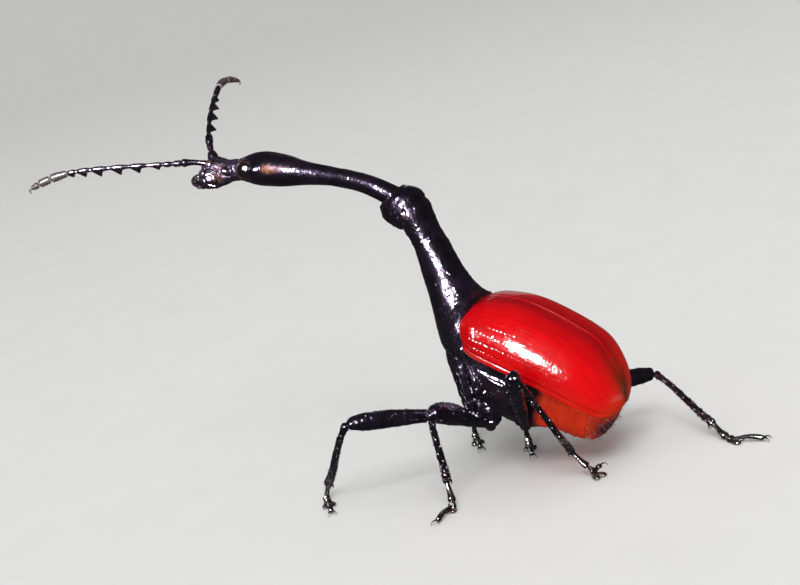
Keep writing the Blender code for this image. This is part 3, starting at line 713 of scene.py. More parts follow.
def thorax():
    """Meso- and metathorax: one capsule with its sutures, plates and folds."""
    n = 300
    a = np.linspace(.22, -4.06, n)
    P, Q, C = trunk(a, 104, 26)
    N = normals(P)
    A = np.broadcast_to(a[:, None], Q.shape)
    side = np.abs(P[..., 0])
    shown = rise(Q, -.05, .1)
    h = np.zeros_like(Q)
    edge_q = np.interp(-A, [-p[0] for p in EDGE], [p[1] for p in EDGE])
    # long side plate under the wing margin: a ledge that faces a little upward, cut off below by a groove
    inside = np.clip(Q / np.maximum(edge_q, .05), 0, 1)
    plate = rise(-A, .62, 1.0) * (1 - rise(-A, 3.7, 4.0))
    h += .290 * inside * (1 - rise(inside, .84, 1.0)) * plate * (Q > 0)
    h -= .055 * bell(away(A, Q, EDGE), .035)
    h += .030 * bell(away(A, Q, [(x, y + .12) for x, y in EDGE]), .07)
    # suture between the two segments, with a rim ahead of it
    meso = [(-.30, .0), (-.46, .18), (-.72, .72), (-.93, .98), (-1.17, 1.20), (-1.45, 1.62), (-1.62, 2.05)]
    h -= .090 * bell(away(A, Q, [(x - .05, y) for x, y in meso]), .045)
    h += .100 * bell(away(A, Q, [(x + .07, y + .02) for x, y in meso]), .060)
    # plates of the mesothorax
    epis = [(.05, .10), (-.04, .68), (-.34, 1.10), (-.58, 1.50), (-.90, 2.0), (-1.13, 2.35)]
    h -= .085 * bell(away(A, Q, epis), .045)
    h += .060 * bell(away(A, Q, [(x - .11, y) for x, y in epis]), .055)
    h += .045 * bell(away(A, Q, [(-.28, .35), (-.62, .95)]), .12)
    h -= .050 * bell(away(A, Q, [(-.30, .75), (-.62, 1.20), (-.95, 1.62)]), .035)
    h += .035 * bell(away(A, Q, [(-.80, 1.30), (-1.10, 1.75), (-1.30, 2.2)]), .06)
    # folds above the middle coxa
    for fold, strength in (([(-1.22, 1.9), (-1.36, 2.2), (-1.60, 2.6)], .085), ([(-1.66, 1.7), (-1.80, 2.05), (-1.96, 2.35)], .075),
                           ([(-.98, 1.95), (-1.08, 2.3)], .060), ([(-2.05, 1.55), (-2.2, 2.0), (-2.28, 2.5)], .045)):
        d = away(A, Q, fold)
        h += strength * bell(d, .055) - strength * .9 * bell(d - .13, .045)
    # broad breast plate, its rear edge and the middle line
    h += .05 * bell((A + 2.35) / 1.0, .9) * bell((Q - 1.5) / .8, 1.0)
    rear = [(-3.05, .62), (-3.12, 1.2), (-3.02, 1.9), (-3.20, 2.6), (-3.25, 3.6)]
    h -= .060 * bell(away(A, Q, rear), .045)
    h += .035 * bell(away(A, Q, [(x - .12, y) for x, y in rear]), .07)
    h -= .030 * bell(side, .04) * rise(Q, 2.0, 2.6)
    # beads of the front rim, and pits
    for x, y, r, t in ((.12, .02, .10, .06), (.02, .22, .09, .055), (-.08, .42, .10, .06), (-.16, .62, .07, .045),
                       (.16, .95, .08, .05), (.06, 1.12, .08, .05), (-.02, 1.30, .07, .05), (-.10, 1.50, .06, .04),
                       (-2.35, 1.22, .07, .04), (-1.95, 1.30, .05, .035), (-2.55, 1.10, .06, .035),
                       (-.62, 1.62, .07, .035), (-.85, 1.50, .06, .035)):
        h += t * np.exp(-((A - x)**2 + (Q - y)**2) / r**2)
    coarse = ((1 - rise(-A, .9, 1.6)) + .25) * (1 - .8 * plate * (inside < 1) * (Q > 0))
    h -= .034 * pits(P, .14, 41, .28) * np.clip(coarse, 0, 1)
    h += .022 * noise(P, .20, 42) * np.clip(coarse + .2, 0, 1) + .012 * noise(P, .10, 43) + .03 * noise(P, .9, 44)
    P = P + N * (h * shown)[..., None]
    made = Skin("warm", "dull", "pale")
    made.grid(P, warm=.012 * bell(away(A, Q, [(-1.0, .95), (-2.2, 1.25), (-2.9, 1.1)]), .35) * shown,
              dull=.25 * np.clip(coarse, 0, 1))
    return made.build("thorax", CUTICLE, ["mesothorax", "metathorax"])


def abdomen():
    n = 150
    a = np.linspace(-3.98, -6.16, n)
    P, Q, C = trunk(a, 96, 16)
    N = normals(P)
    A = np.broadcast_to(a[:, None], Q.shape)
    shown = rise(Q, -.05, .1)
    h = np.zeros_like(Q)
    bow = .12 * bell(P[..., 0], .9)
    for at in (-4.52, -5.02, -5.46, -5.86):
        d = A - at - bow
        h -= .034 * bell(d, .032) * rise(Q, .2, .6)
        h += .024 * bell(d - .09, .06)
    # fold between belly plates and the strip under the wing case, with its breathing pores
    h -= .050 * bell(Q - .42, .05)
    h += .045 * bell(Q - .22, .14)
    for at in (-4.28, -4.78, -5.24, -5.66):
        d = np.hypot(A - at, Q - .24)
        h += .030 * bell(d - .075, .028) - .05 * bell(d, .045)
    h -= .014 * pits(P, .17, 51, .26)
    h += .012 * noise(P, .30, 52) + .006 * noise(P, .10, 53) + .03 * noise(P, .8, 54)
    P = P + N * (h * shown)[..., None]
    made = Skin("deep", "pale")
    deep = .85 * (1 - rise(-A, 4.0, 4.35)) + .25 * bell(Q - .42, .06)
    made.grid(P, deep=np.clip(deep, 0, 1), pale=0 * A)
    return made.build("abdomen_shell", BELLY, ["abdomen"])


def pygidium():
    n = 96
    end = -7.06
    a0 = -6.10
    w = np.linspace(0, 1, n)
    a = a0 + (end - a0) * w
    P, Q, C = trunk(a, 90, 12)
    # rounded off behind
    k = np.sqrt(np.clip(1 - np.clip((w - .62) / .385, 0, 1)**2.2, 0, 1))
    k = np.maximum(k, .03)
    mid = body(a, 0 * a, -.25 - .32 * belly_depth(a))
    P = mid[:, None] + (P - mid[:, None]) * k[:, None, None]
    N = normals(P)
    A = np.broadcast_to(a[:, None], Q.shape)
    h = np.zeros_like(Q)
    h -= .05 * bell(A + 6.13, .04)
    h -= .04 * bell(A + 6.55 + .10 * bell(P[..., 0], .6), .035) * rise(Q, .9, 1.4)
    h -= .020 * pits(P, .15, 61, .30)
    h += .014 * noise(P, .22, 62) + .007 * noise(P, .09, 63)
    P = P + N * h[..., None]
    made = Skin("deep", "pale")
    deep = .16 + .90 * np.exp(-((A + 6.84) / .36)**2 - ((C + 1.50) / .64)**2) + .15 * rise(Q, 1.8, 2.5)
    made.grid(P, deep=np.clip(deep, 0, 1), pale=0 * A)
    made.build("pygidium_plate", PYGIDIUM, ["pygidium"])
    return P, N


def scutellum():
    """Small shield between the wing bases."""
    s = np.linspace(0, 1, 30)
    c = body(.20 - .46 * s, 0, 1.26 + .26 * s)
    w = .27 * np.sqrt(np.clip(1 - s**2, 0.004, 1)) + .01
    P = tube(c, .055 * np.ones(30) * np.sqrt(np.clip(1 - s**6, .01, 1)), w, 40, vec(0, -.5, .87),
             lambda P, th: .004 * noise(P, .08, 71))
    made = Skin("warm", "dull", "pale")
    made.grid(P)
    return made.build("scutellum", CUTICLE)


# ------------------------------------------------------------ head, prothorax
HEAD = [
    (-2.62, 12.57, .470, 1.00), (-3.17, 12.94, .445, 1.00), (-3.75, 13.25, .430, 1.00),
    (-4.52, 13.53, .418, 1.00), (-5.34, 13.79, .425, 1.00), (-6.71, 14.12, .545, 1.00),
    (-7.60, 14.35, .716, 1.02), (-8.55, 14.58, .788, 1.04), (-9.17, 14.68, .724, 1.04),
    (-9.54, 14.71, .624, 1.02), (-10.10, 14.75, .490, 1.00), (-10.50, 14.77, .480, 1.00),
    (-11.14, 14.79, .640, 1.06), (-11.75, 14.83, .655, 1.12), (-12.22, 14.78, .500, 1.14),
]
EYE_AT, EYE_R = (.60, -9.33, 14.80), (.285, .46, .410)


def capsule():
    """Neck, head and rostrum as one skin."""
    cols = np.array(HEAD).T
    d = np.concatenate([[0], np.cumsum(np.hypot(np.diff(cols[0]), np.diff(cols[1])))])
    whole = d[-1]
    n, m = 400, 200
    front = 22
    s = np.concatenate([np.linspace(-.35, whole - .06, n), np.full(front, whole - .06)])
    w = np.concatenate([np.zeros(n), np.linspace(0, 1.53, front + 1)[1:]])
    soft = rise(s, 5.4, 6.6)

    def col(k):
        return flow(s, d, cols[k], .30) * (1 - soft) + flow(s, d, cols[k], .085) * soft

    y, z, r, wide = (col(k) for k in range(4))
    run = unit(np.stack([0 * y, np.gradient(flow(s + 1e-6 * np.arange(len(s)), d, cols[0], .2)),
                         np.gradient(flow(s + 1e-6 * np.arange(len(s)), d, cols[1], .2))], 1))
    run[n:] = run[n - 1]
    up = np.stack([0 * y, run[:, 2], -run[:, 1]], 1)
    th = 2 * math.pi * (np.arange(m) + .5) / m
    ct, st = np.cos(th), np.sin(th)
    shrink = np.cos(w)**.62
    centre = np.stack([0 * y, y, z], 1) + run * (.13 * np.sin(w))[:, None]
    slant = .30 * rise(s, whole - 1.3, whole - .1) * (.30 + .70 * np.cos(w))
    # the rostrum is flatter above and squarer at its lip
    square = rise(s, whole - 2.2, whole - .9)[:, None]
    pw = 1 - .16 * square
    ex = np.sign(ct) * np.abs(ct)**pw
    ez = np.sign(st) * np.abs(st)**pw
    P = (centre[:, None] + (r * wide * shrink)[:, None, None] * ex[..., None] * vec(1, 0, 0)
         + (r * shrink)[:, None, None] * ez[..., None] * up[:, None]
         - (slant[:, None] * (.55 + st[None]))[..., None] * run[:, None])
    N = normals(P)
    X, Y, Z = P[..., 0], P[..., 1], P[..., 2]
    ax = np.abs(X)
    S = np.broadcast_to(s[:, None], X.shape)
    T = np.broadcast_to(th[None], X.shape)
    top, low = np.sin(T), -np.sin(T)
    keep = (1 - rise(w, .2, 1.2))[:, None]

    h = np.zeros_like(X)
    # eye ring on each temple
    e = np.hypot((Y - EYE_AT[1]) / EYE_R[1], (Z - EYE_AT[2]) / EYE_R[2])
    on_side = rise(ax, .25, .45)
    temple = np.hypot(Y + 8.80, Z - 14.72)
    h += (.045 * bell(e - 1.10, .10) - .035 * bell(e - 1.32, .10)) * on_side * (1 - bell(temple, .42))
    h += .130 * np.exp(-(temple / .250)**2.2) * on_side - .030 * bell(temple - .38, .05) * on_side
    # rugose brow and cheek in front of and under the eye
    rug = bell((Y + 9.9) / .55, 1.0) * rise(ax, .15, .4)
    h += .020 * noise(P, .10, 81) * rug - .022 * pits(P, .13, 82, .30) * rug
    # furrow along the crown, fading towards the neck
    h -= .022 * bell(X, .045) * (top > 0) * rise(-Y, 6.9, 7.6) * (1 - rise(-Y, 9.0, 9.4))
    h += .030 * bell(X, .07) * (top > 0) * rise(-Y, 9.7, 10.1) * (1 - rise(-Y, 11.0, 11.4))
    h -= .030 * bell(ax - .17, .055) * (top > 0) * rise(-Y, 9.8, 10.2) * (1 - rise(-Y, 11.0, 11.4))
    # throat seam
    h -= .022 * bell(X, .035) * (low > 0) * rise(-Y, 6.6, 7.4) * (1 - rise(-Y, 9.5, 9.9))
    # step between head and rostrum
    h -= .035 * bell(Y + 10.02, .07) * (.4 + .6 * (top > -.3))
    # tubercle on the side of the rostrum
    knob = away(Y, Z, [(-10.57, 14.935), (-10.49, 14.875)])
    small_knob = np.hypot(Y + 10.36, Z - 15.14)
    h += (.110 * np.sqrt(np.clip(1 - (knob / .18)**2, 0, 1)) - (.24 * (Z - 14.89) + .34 * (Y + 10.52)) * (1 - rise(knob, .13, .27))) * on_side
    h -= .035 * bell(knob - .27, .045) * on_side
    h += .060 * np.exp(-(small_knob / .085)**2.4) * on_side
    # cheek bulge beside the jaw hinge, and the furrow round it
    cheek = np.hypot(Y + 11.35, Z - 14.72)
    h += (.110 * np.sqrt(np.clip(1 - (cheek / .32)**2, 0, 1)) - (.42 * (Z - 14.72) + .34 * (Y + 11.35)) * (1 - rise(cheek, .17, .31))) * on_side
    h -= .060 * bell(cheek - .35, .05) * on_side
    round_it = np.arctan2(Z - 14.72, Y + 11.35)
    h += .045 * bell(cheek - .45, .05) * (.55 + .45 * np.cos(round_it * 9)) * on_side
    # feeler sockets
    for sx, sy, sz in ((.44, -11.48, 15.24), (-.44, -11.62, 15.26)):
        dd = np.sqrt((X - sx)**2 + (Y - sy)**2 + (Z - sz)**2)
        h += .060 * bell(dd - .22, .06) - .09 * bell(dd, .13)
    shoulder = np.sqrt((ax - .50)**2 + (Y + 11.39)**2 + (Z - 15.36)**2)
    h += .030 * np.exp(-(shoulder / .15)**2.4)
    # lower lip rim, front rim
    h += .045 * bell(S - (whole - .16), .07) * keep
    h -= .040 * bell(S - (whole - .36), .05) * keep
    rim = away(Y, Z, [(-10.80, 14.25), (-11.42, 14.26), (-12.1, 14.32)])
    h += .095 * bell(rim, .080) * on_side - .030 * bell(rim - .16, .05) * on_side
    # pits, wrinkles and long soft unevenness
    ros = rise(-Y, 9.6, 10.4)
    calm = 1 - .92 * np.clip(bell(cheek, .34) + bell(knob, .15) + bell(temple, .30) + .3 * bell(shoulder, .20) + .8 * bell(rim, .12), 0, 1)
    h -= (.006 + .018 * ros) * pits(P, .12, 83, .26) * calm
    h -= .012 * pits(P, .24, 88, .16) * (1 - ros)
    h += ((.003 + .010 * ros) * noise(P, .09, 84) + .0020 * noise(P, .04, 85)) * calm + .012 * noise(P, .45, 86)
    rings = np.sin(S * 2 * math.pi / .16 + 2.2 * noise(P, .5, 87))
    h += .0014 * rings * (1 - rise(S, 1.4, 3.0))
    P = P + N * h[..., None]

    # painted warm reflection: the first two terms put a bright cream-orange patch on each temple behind the eye; the
    # others add fainter pink-brown patches round the eye and on the rostrum side
    warm = 1.25 * np.exp(-((Y + 8.10) / .19)**2 - ((Z - 14.72) / .14)**2) * on_side
    warm += .60 * np.exp(-((Y + 7.66) / .30)**2 - ((Z - 14.60) / .11)**2) * on_side
    warm += .16 * np.exp(-((Y + 9.80) / .16)**2 - ((Z - 14.70) / .20)**2) * on_side
    warm += .12 * np.exp(-((Y + 9.35) / .30)**2 - ((Z - 14.42) / .08)**2) * on_side
    warm += .22 * np.exp(-((Y + 10.85) / .22)**2 - ((Z - 15.15) / .16)**2) * on_side
    warm += .34 * np.exp(-((Y + 10.95) / .18)**2 - ((Z - 14.68) / .20)**2) * on_side
    warm *= .85 + .70 * noise(P, .10, 89)
    made = Skin("warm", "dull", "pale")
    waist = .9 * bell(Y + 10.06, .17) * rise(knob, .22, .34)
    made.grid(P, warm=np.clip(warm, 0, 1), dull=np.clip((1.0 * ros + .6 * rug) * rise(calm, .15, .95) + waist, 0, 1), pale=0 * X)
    # boss that holds each feeler's ball
    for sign, at, level in ((1, -11.33, 15.35), (-1, -11.47, 15.20)):
        lean = unit(vec(.86 * sign, .33, .38))
        k = np.linspace(-1, 1, 30)
        c = vec(.53 * sign, at, level) + k[:, None] * .075 * lean
        r = .19 * np.sqrt(np.clip(1 - k**2, .0005, 1))
        made.grid(tube(c, r, r, 48, vec(0, 0, 1), lambda P, th: .007 * noise(P, .07, 101) - .006 * pits(P, .08, 102, .3)), warm=.08)
        # ridge along the lower edge of the rostrum
        edge = line_through([(.30 * sign, -10.82, 14.31), (.38 * sign, -11.00, 14.29), (.50 * sign, -11.34, 14.29), (.55 * sign, -11.56, 14.33)], 60, .05)
        s, k = capped(edge[1][-1], .09, .07, 60, 8)
        made.grid(tube(along(edge, s), .072 * k, .072 * k, 30, vec(0, 0, 1), lambda P, th: .012 * noise(P, .13, 104) + .004 * noise(P, .05, 105)))
    return made.build("head_capsule", CUTICLE, ["neck", "head", "rostrum"])


def eye(side):
    """Domed compound eye with its lens facets."""
    sign = 1 if side == "left" else -1
    n, m = 96, 208
    al = np.linspace(.02, 1.95, n)
    be = 2 * math.pi * np.arange(m) / m
    rx, ry, rz = EYE_R
    x = np.cos(al)[:, None] * np.ones(m)
    y = np.sin(al)[:, None] * np.cos(be)
    z = np.sin(al)[:, None] * np.sin(be)
    P = np.stack([EYE_AT[0] + x * rx * 1.22, EYE_AT[1] + y * ry, EYE_AT[2] + z * rz], -1)
    # hexagons laid over the dome
    u, v = al[:, None] * np.cos(be) * .40, al[:, None] * np.sin(be) * .38
    size = .038
    q = np.stack([u / size - v / size / math.sqrt(3), 2 * v / size / math.sqrt(3)], -1)
    qr = q[..., 0], q[..., 1], -q[..., 0] - q[..., 1]
    r = [np.round(k) for k in qr]
    diff = [np.abs(a - b) for a, b in zip(r, qr)]
    r0 = np.where((diff[0] > diff[1]) & (diff[0] > diff[2]), -r[1] - r[2], r[0])
    r1 = np.where((diff[1] >= diff[0]) & (diff[1] > diff[2]), -r[0] - r[2], r[1])
    cu, cv = (r0 + r1 / 2) * size, r1 * math.sqrt(3) / 2 * size
    far = np.hypot(u - cu, v - cv) / (size * .58)
    N = normals(P)
    if (N[..., 0] * (P[..., 0] - EYE_AT[0])).sum() < 0:
        N = -N
    P = P - N * (.0065 * np.clip(far, 0, 1)**2.2)[..., None]
    P[..., 0] *= sign
    made = Skin("warm")
    made.grid(P, warm=.5 * rise(al, 1.0, 1.5)[:, None] * np.ones(m))
    return made.build(f"eye_dome_{side}", EYE, [f"eye_{side}"])


def mouth():
    """Jaws, upper lip and palps in front of the rostrum."""
    for side, sign in (("left", 1), ("right", -1)):
        made = Skin("warm", "dull", "pale")
        lift = .03 * sign
        line = line_through([(sign * .30, -11.85, 14.66), (sign * .45, -12.22, 14.64 + lift), (sign * .42, -12.50, 14.58 + lift),
                             (sign * .25, -12.74, 14.52 + lift), (sign * .04, -12.86, 14.49 + lift)], 70, .05)
        s, k = capped(line[1][-1], .10, .02, 54)
        t = s / line[1][-1]
        tall = k * smooth(t, [0, .3, .6, .85, 1], [.26, .29, .22, .11, .04])
        wide = k * smooth(t, [0, .3, .6, .85, 1], [.16, .17, .12, .065, .025])

        def relief(P, th, t=t):
            back = bell(th - (math.pi if sign > 0 else 0), .9)[None] + (bell(th - 2 * math.pi, .9)[None] if sign < 0 else 0)
            teeth = .06 * bell(t - .55, .035) + .075 * bell(t - .72, .035) + .05 * bell(t - .87, .03)
            return teeth[:, None] * back + .008 * noise(P, .08, 91) + .022 * pits(P, .13, 92, .32)

        P = tube(along(line, s), wide, tall, 40, vec(1, 0, 0), relief)
        # the pale speckles on the jaw are painted glints
        made.grid(P, warm=.07 * rise(noise(P, .07, 98), .0, .7), pale=.42 * rise(noise(P, .06, 99), .05, .7))
        made.build(f"jaw_{side}", CUTICLE, [f"mandible_{side}"])
    parts = Skin("warm", "dull", "pale")
    # upper lip
    s = np.linspace(0, 1, 28)
    c = np.stack([0 * s, -11.98 - .36 * s, 14.93 - .07 * s], 1)
    P = tube(c, .055 * np.sqrt(np.clip(1.02 - s**4, .02, 1)), .30 * np.sqrt(np.clip(1.02 - s**3, .02, 1)), 44, vec(0, 0, 1),
             lambda P, th: .006 * noise(P, .06, 93) - .02 * bell(P[..., 0], .03) * (P[..., 2] > 14.9))
    parts.grid(P, dull=.2)
    # lobe over the root of each jaw
    for sign in (1, -1):
        line = line_through([(sign * .40, -11.70, 15.06), (sign * .38, -11.92, 14.99), (sign * .30, -12.14, 14.90)], 40, .08)
        s, k = capped(line[1][-1], .12, .10, 30, 9)
        P = tube(along(line, s), .13 * k, .15 * k, 34, vec(1, 0, 0), lambda P, th: .012 * noise(P, .09, 96) - .012 * pits(P, .09, 97, .3))
        parts.grid(P, warm=.04)
    # palps: two short bead chains a side, and the chin plate between
    for sign in (1, -1):
        for pts, rads in (([(sign * .30, -12.12, 14.36), (sign * .36, -12.32, 14.31), (sign * .35, -12.47, 14.32), (sign * .30, -12.58, 14.36)],
                           (.098, .082, .055)),
                          ([(sign * .11, -12.20, 14.33), (sign * .13, -12.36, 14.28), (sign * .12, -12.47, 14.29), (sign * .10, -12.55, 14.32)],
                           (.060, .052, .038))):
            pts = np.array(pts)
            for a, b, r in zip(pts, pts[1:], rads):
                gone = np.linalg.norm(b - a)
                s, k = capped(gone + r * .7, r, r, 6, 6)
                line = (np.array([a - unit(b - a) * r * .35, b + unit(b - a) * r * .35]), np.array([0, gone + r * .7]))
                P = tube(along(line, s), r * k, r * k, 18, vec(0, 0, 1), lambda P, th: .003 * noise(P, .05, 94))
                # the pale tone on the palp beads is a painted highlight
                parts.grid(P, pale=.34)
    s = np.linspace(0, 1, 24)
    c = np.stack([0 * s, -11.95 - .40 * s, 14.30 + .02 * s], 1)
    P = tube(c, .06 * np.sqrt(np.clip(1.02 - s**4, .02, 1)), .24 * np.sqrt(np.clip(1.02 - s**3, .02, 1)), 36, vec(0, 0, 1),
             lambda P, th: .006 * noise(P, .06, 95))
    parts.grid(P)
    return parts.build("mouthparts", CUTICLE)


PROTHORAX = [
    (-1.86, 12.83, -3.10, 12.02, .74), (-1.50, 12.75, -3.06, 11.62, .90), (-1.17, 12.44, -2.76, 11.30, .93),
    (-.92, 11.94, -2.46, 11.08, .87), (-.83, 11.36, -2.19, 10.93, .79), (-.70, 10.72, -2.02, 10.46, .75),
    (-.46, 10.12, -1.92, 9.88, .77), (-.14, 9.10, -1.86, 8.80, .86), (.12, 8.42, -1.80, 7.90, .98),
    (.28, 8.12, -1.76, 7.15, 1.13), (.36, 7.93, -1.70, 6.42, 1.33), (.40, 7.80, -1.56, 5.74, 1.56),
    (.42, 7.68, -1.16, 5.14, 1.76), (.42, 7.58, -.42, 4.86, 1.86),
]


def prothorax():
    """Collar, waist and cone in one skin."""
    cols = np.array(PROTHORAX).T
    step = (np.hypot(np.diff(cols[0]), np.diff(cols[1])) + np.hypot(np.diff(cols[2]), np.diff(cols[3]))) / 2
    d = np.concatenate([[0], np.cumsum(step)])
    whole = d[-1]
    n, m = 350, 220
    s = np.linspace(0, whole, n)
    soft = rise(s, d[3], d[5])

    def col(k):
        return flow(s, d, cols[k], .085) * (1 - soft) + flow(s, d, cols[k], .19) * soft

    yd, zd, yv, zv, half = (col(k) for k in range(5))
    up = np.stack([0 * yd, yd, zd], 1)
    dn = np.stack([0 * yd, yv, zv], 1)
    centre, across = (up + dn) / 2, unit(up - dn)
    r = np.linalg.norm(up - dn, axis=1) / 2
    th = 2 * math.pi * (np.arange(m) + .5) / m
    power = 2.0 + .28 * rise(s, d[9], d[13])
    ct = np.sign(np.cos(th)) * np.abs(np.cos(th))**(2 / power[:, None])
    st = np.sign(np.sin(th)) * np.abs(np.sin(th))**(2 / power[:, None])
    P = centre[:, None] + (half[:, None] * ct)[..., None] * vec(1, 0, 0) + (r[:, None] * st)[..., None] * across[:, None]
    N = normals(P)
    S = np.broadcast_to(s[:, None], P.shape[:2])
    k_at = np.interp(S, d, np.arange(len(d)))
    top = np.broadcast_to(np.sin(th)[None], S.shape)
    h = np.zeros_like(S)
    # the collar: a lip, a cross groove over the bulb, and the tight groove at the waist
    
    h -= .050 * bell(S - (d[2] + .42 * (d[3] - d[2])), .080) * rise(top, .35, .95)
    h += .035 * bell(S - (d[1] + .75 * (d[2] - d[1])), .16) * rise(top, -.2, .5)
    h -= .055 * bell(S - d[4] + .16 * (1 - top) * .5, .065) * (1 - rise(top, -.65, .15))
    h += .030 * bell(S - d[4] - .20, .10) * (1 - .8 * rise(top, -.6, .1))
    h -= .008 * bell(S - d[5] - .05, .045) * (.6 + .4 * noise(P, .6, 100))
    for q in (.42, .82):
        h -= .006 * bell(S - d[5] - q + .05 * noise(P, .5, 101), .035) * rise(noise(P, .35, 102 + int(q * 10)), .1, .7)
    # side pits of the collar
    for sy, sz in ((-1.93, 11.75), (-1.62, 11.92), (-2.20, 11.95), (-1.75, 11.45)):
        dd = np.hypot(P[..., 1] - sy, P[..., 2] - sz)
        h -= .05 * bell(dd, .085) * rise(np.abs(P[..., 0]), .4, .7)
    # fine cross wrinkles over the base, then the raised hind rim
    base = rise(S, d[8] + .2, d[9] + .5)
    wrinkle = np.sin(S * 2 * math.pi / .125 + 4.5 * noise(P, .42, 111) + 2.4 * noise(P, .17, 112))
    h += .0075 * wrinkle * base * (1 - rise(S, whole - .32, whole - .2)) * np.clip(.35 + .9 * noise(P, .3, 113), 0, 1)
    h -= .060 * bell(S - (whole - .22), .040)
    h += .050 * bell(S - (whole - .10), .070)
    # pits and soft unevenness
    h -= .013 * pits(P, .20, 115, .20) * (1 - .5 * base)
    h += .028 * pits(P, .27, 120, .17)
    h += .018 * noise(P, .60, 116) * rise(S, d[4], d[6]) + .006 * noise(P, .15, 117) + .0030 * noise(P, .06, 118)
    # each side is a little flattened along its upper flank
    facing = np.abs(N[..., 0]) * .86 + N[..., 1] * .35 + N[..., 2] * .37
    turn = np.arccos(np.clip(facing, -1, 1))
    h += .017 * (1 - np.exp(-turn**2 / .06))
    # small knots along the back outline
    for q, t in ((d[5] + .10, .03), (d[6] - .05, .045), (d[6] + .22, .03), (d[7] + .55, .030), (d[8] + .02, .035)):
        h += t * bell(S - q, .07) * bell(1 - top, .18)
    P = P + N * h[..., None]
    # rolled lip round the neck, then the socket it turns in
    out = unit(np.cross(across[0], vec(1, 0, 0)))
    out = out if out[2] > 0 else -out
    rho = .070
    fronts = []
    radial = unit(P[0] - centre[0])
    size = np.linalg.norm(P[0] - centre[0], axis=1)[:, None]
    for w in np.linspace(0, math.pi, 16)[1:]:
        fronts.append(centre[0] + radial * (size - rho * (1 - math.cos(w))) + out * rho * math.sin(w) * 1.25)
    for q in np.linspace(0, 1, 9)[1:]:
        fronts.append(centre[0] + radial * ((size - 2 * rho) * (1 - q) + .44 * q) - out * .22 * q)
    tail = []
    back = unit(centre[-1] - centre[-4])
    for w in np.linspace(0, 1.2, 8)[1:]:
        tail.append(centre[-1] + (P[-1] - centre[-1]) * (1 - .10 * (1 - math.cos(w))) + vec(0, .87, -.5) * .10 * math.sin(w))
    P = np.concatenate([np.array(fronts[::-1]), P, np.array(tail)], 0)
    full = np.concatenate([np.repeat(k_at[:1], len(fronts), 0), k_at, np.repeat(k_at[-1:], len(tail), 0)], 0)
    warm = .16 * np.exp(-((P[..., 1] + 1.62)**2 + (P[..., 2] - 11.72)**2) / .10**2) * (np.abs(P[..., 0]) > .4)
    warm += .02 * rise(full, 9, 12) * rise(noise(P, .35, 119), .0, .6)
    made = Skin("warm", "dull", "pale")
    made.grid(P, warm=np.clip(warm, 0, 1), dull=.18 * rise(full, 9, 12), pale=0 * full)
    return made.build("prothorax_shell", CUTICLE, ["prothorax"])


# -------------------------------------------------------------------- legs
LEGS = {
    "front_left": ((.60, -.86, 4.60), (.55, -.84, 2.50), (4.37, -5.00, 3.78), (3.41, -7.64, .50),
                   [(3.72, -7.58, .22), (4.55, -6.98, .13), (5.32, -6.35, .14)]),
    "front_right": ((-.60, -.86, 4.60), (-.55, -.84, 2.50), (-5.75, -2.20, 3.60), (-2.75, -3.15, .60),
                    [(-2.38, -2.98, .22), (-1.75, -2.55, .13), (-1.00, -2.02, .14)]),
    "mid_left": ((.85, .22, 3.60), (1.02, .10, 2.00), (4.75, -.41, 4.28), (4.21, -.86, .85),
                 [(4.55, -.62, .28), (5.25, -.32, .13), (6.35, -.40, .14)]),
    "mid_right": ((-.85, .22, 3.60), (-1.02, .10, 2.00), (-4.90, -.35, 3.15), (-1.95, -.05, .62),
                  [(-1.62, .14, .22), (-.95, .52, .13), (.02, 1.08, .14)]),
    "hind_left": ((1.10, 1.80, 3.30), (1.48, 1.98, 2.08), (4.25, 3.52, 5.43), (2.12, 4.18, 1.05),
                  [(2.10, 4.66, .44), (2.36, 5.28, .15), (2.78, 6.08, .14)]),
    "hind_right": ((-1.10, 1.80, 3.30), (-1.48, 1.98, 2.08), (-3.80, 5.90, 2.10), (-1.50, 9.04, .55),
                   [(-1.25, 9.40, .22), (-.65, 10.15, .13), (-.75, 11.35, .14)]),
}
COXA = {"front": (.64, .38), "mid": (.62, .40), "hind": (.60, .40)}
FEMUR = {"front": (.21, .43), "mid": (.23, .47), "hind": (.23, .41)}
ROOTS = []          # bristles asked for: root, direction, length, radius, tone, atlas cell, place in it


def bristle(root, heading, length, radius, dark, cell, place):
    ROOTS.append((np.array(root, float), unit(heading), length, radius, dark, cell, place))


def coxa(name):
    base, tip, *_ = LEGS[name]
    base, tip = vec(*base), vec(*tip)
    r0, r1 = COXA[name.split("_")[0]]
    side = 1 if name.endswith("left") else -1
    if name.startswith("front"):
        base = vec(side * .50, -.98, 6.20)
    run = tip - base
    length = np.linalg.norm(run)
    s, k = capped(length + .04, .3, r1 * .8, 70, 12)
    t = s / length
    if name.startswith("front"):
        r = k * smooth(t, [0, .28, .5, .68, .86, 1.02], [.34, .58, .55, .50, .47, .37])
    else:
        r = k * smooth(t, [0, .45, .8, 1.02], [r0 * .93, r0 * .90, r1 * 1.18, r1 * .98])
    line = (np.array([base, tip + unit(run) * .04]), np.array([0, length + .04]))

    def relief(P, th):
        seams = -.045 * bell(t - .80, .030)[:, None] - .02 * bell(np.sin(th - .6), .10)[None] * (t < .85)[:, None]
        return seams - .022 * pits(P, .14, 121, .28) + .026 * noise(P, .26, 122) + .009 * noise(P, .09, 123)

    P = tube(along(line, s), r, r, 72, vec(0, 1, 0), relief)
    P[..., 0] = side * np.maximum(side * P[..., 0], .02)
    made = Skin("warm", "dull", "pale")
    made.grid(P, dull=.05 + 0 * P[..., 0])
    return made.build(f"hip_{name}", CUTICLE, [f"coxa_{name}"])


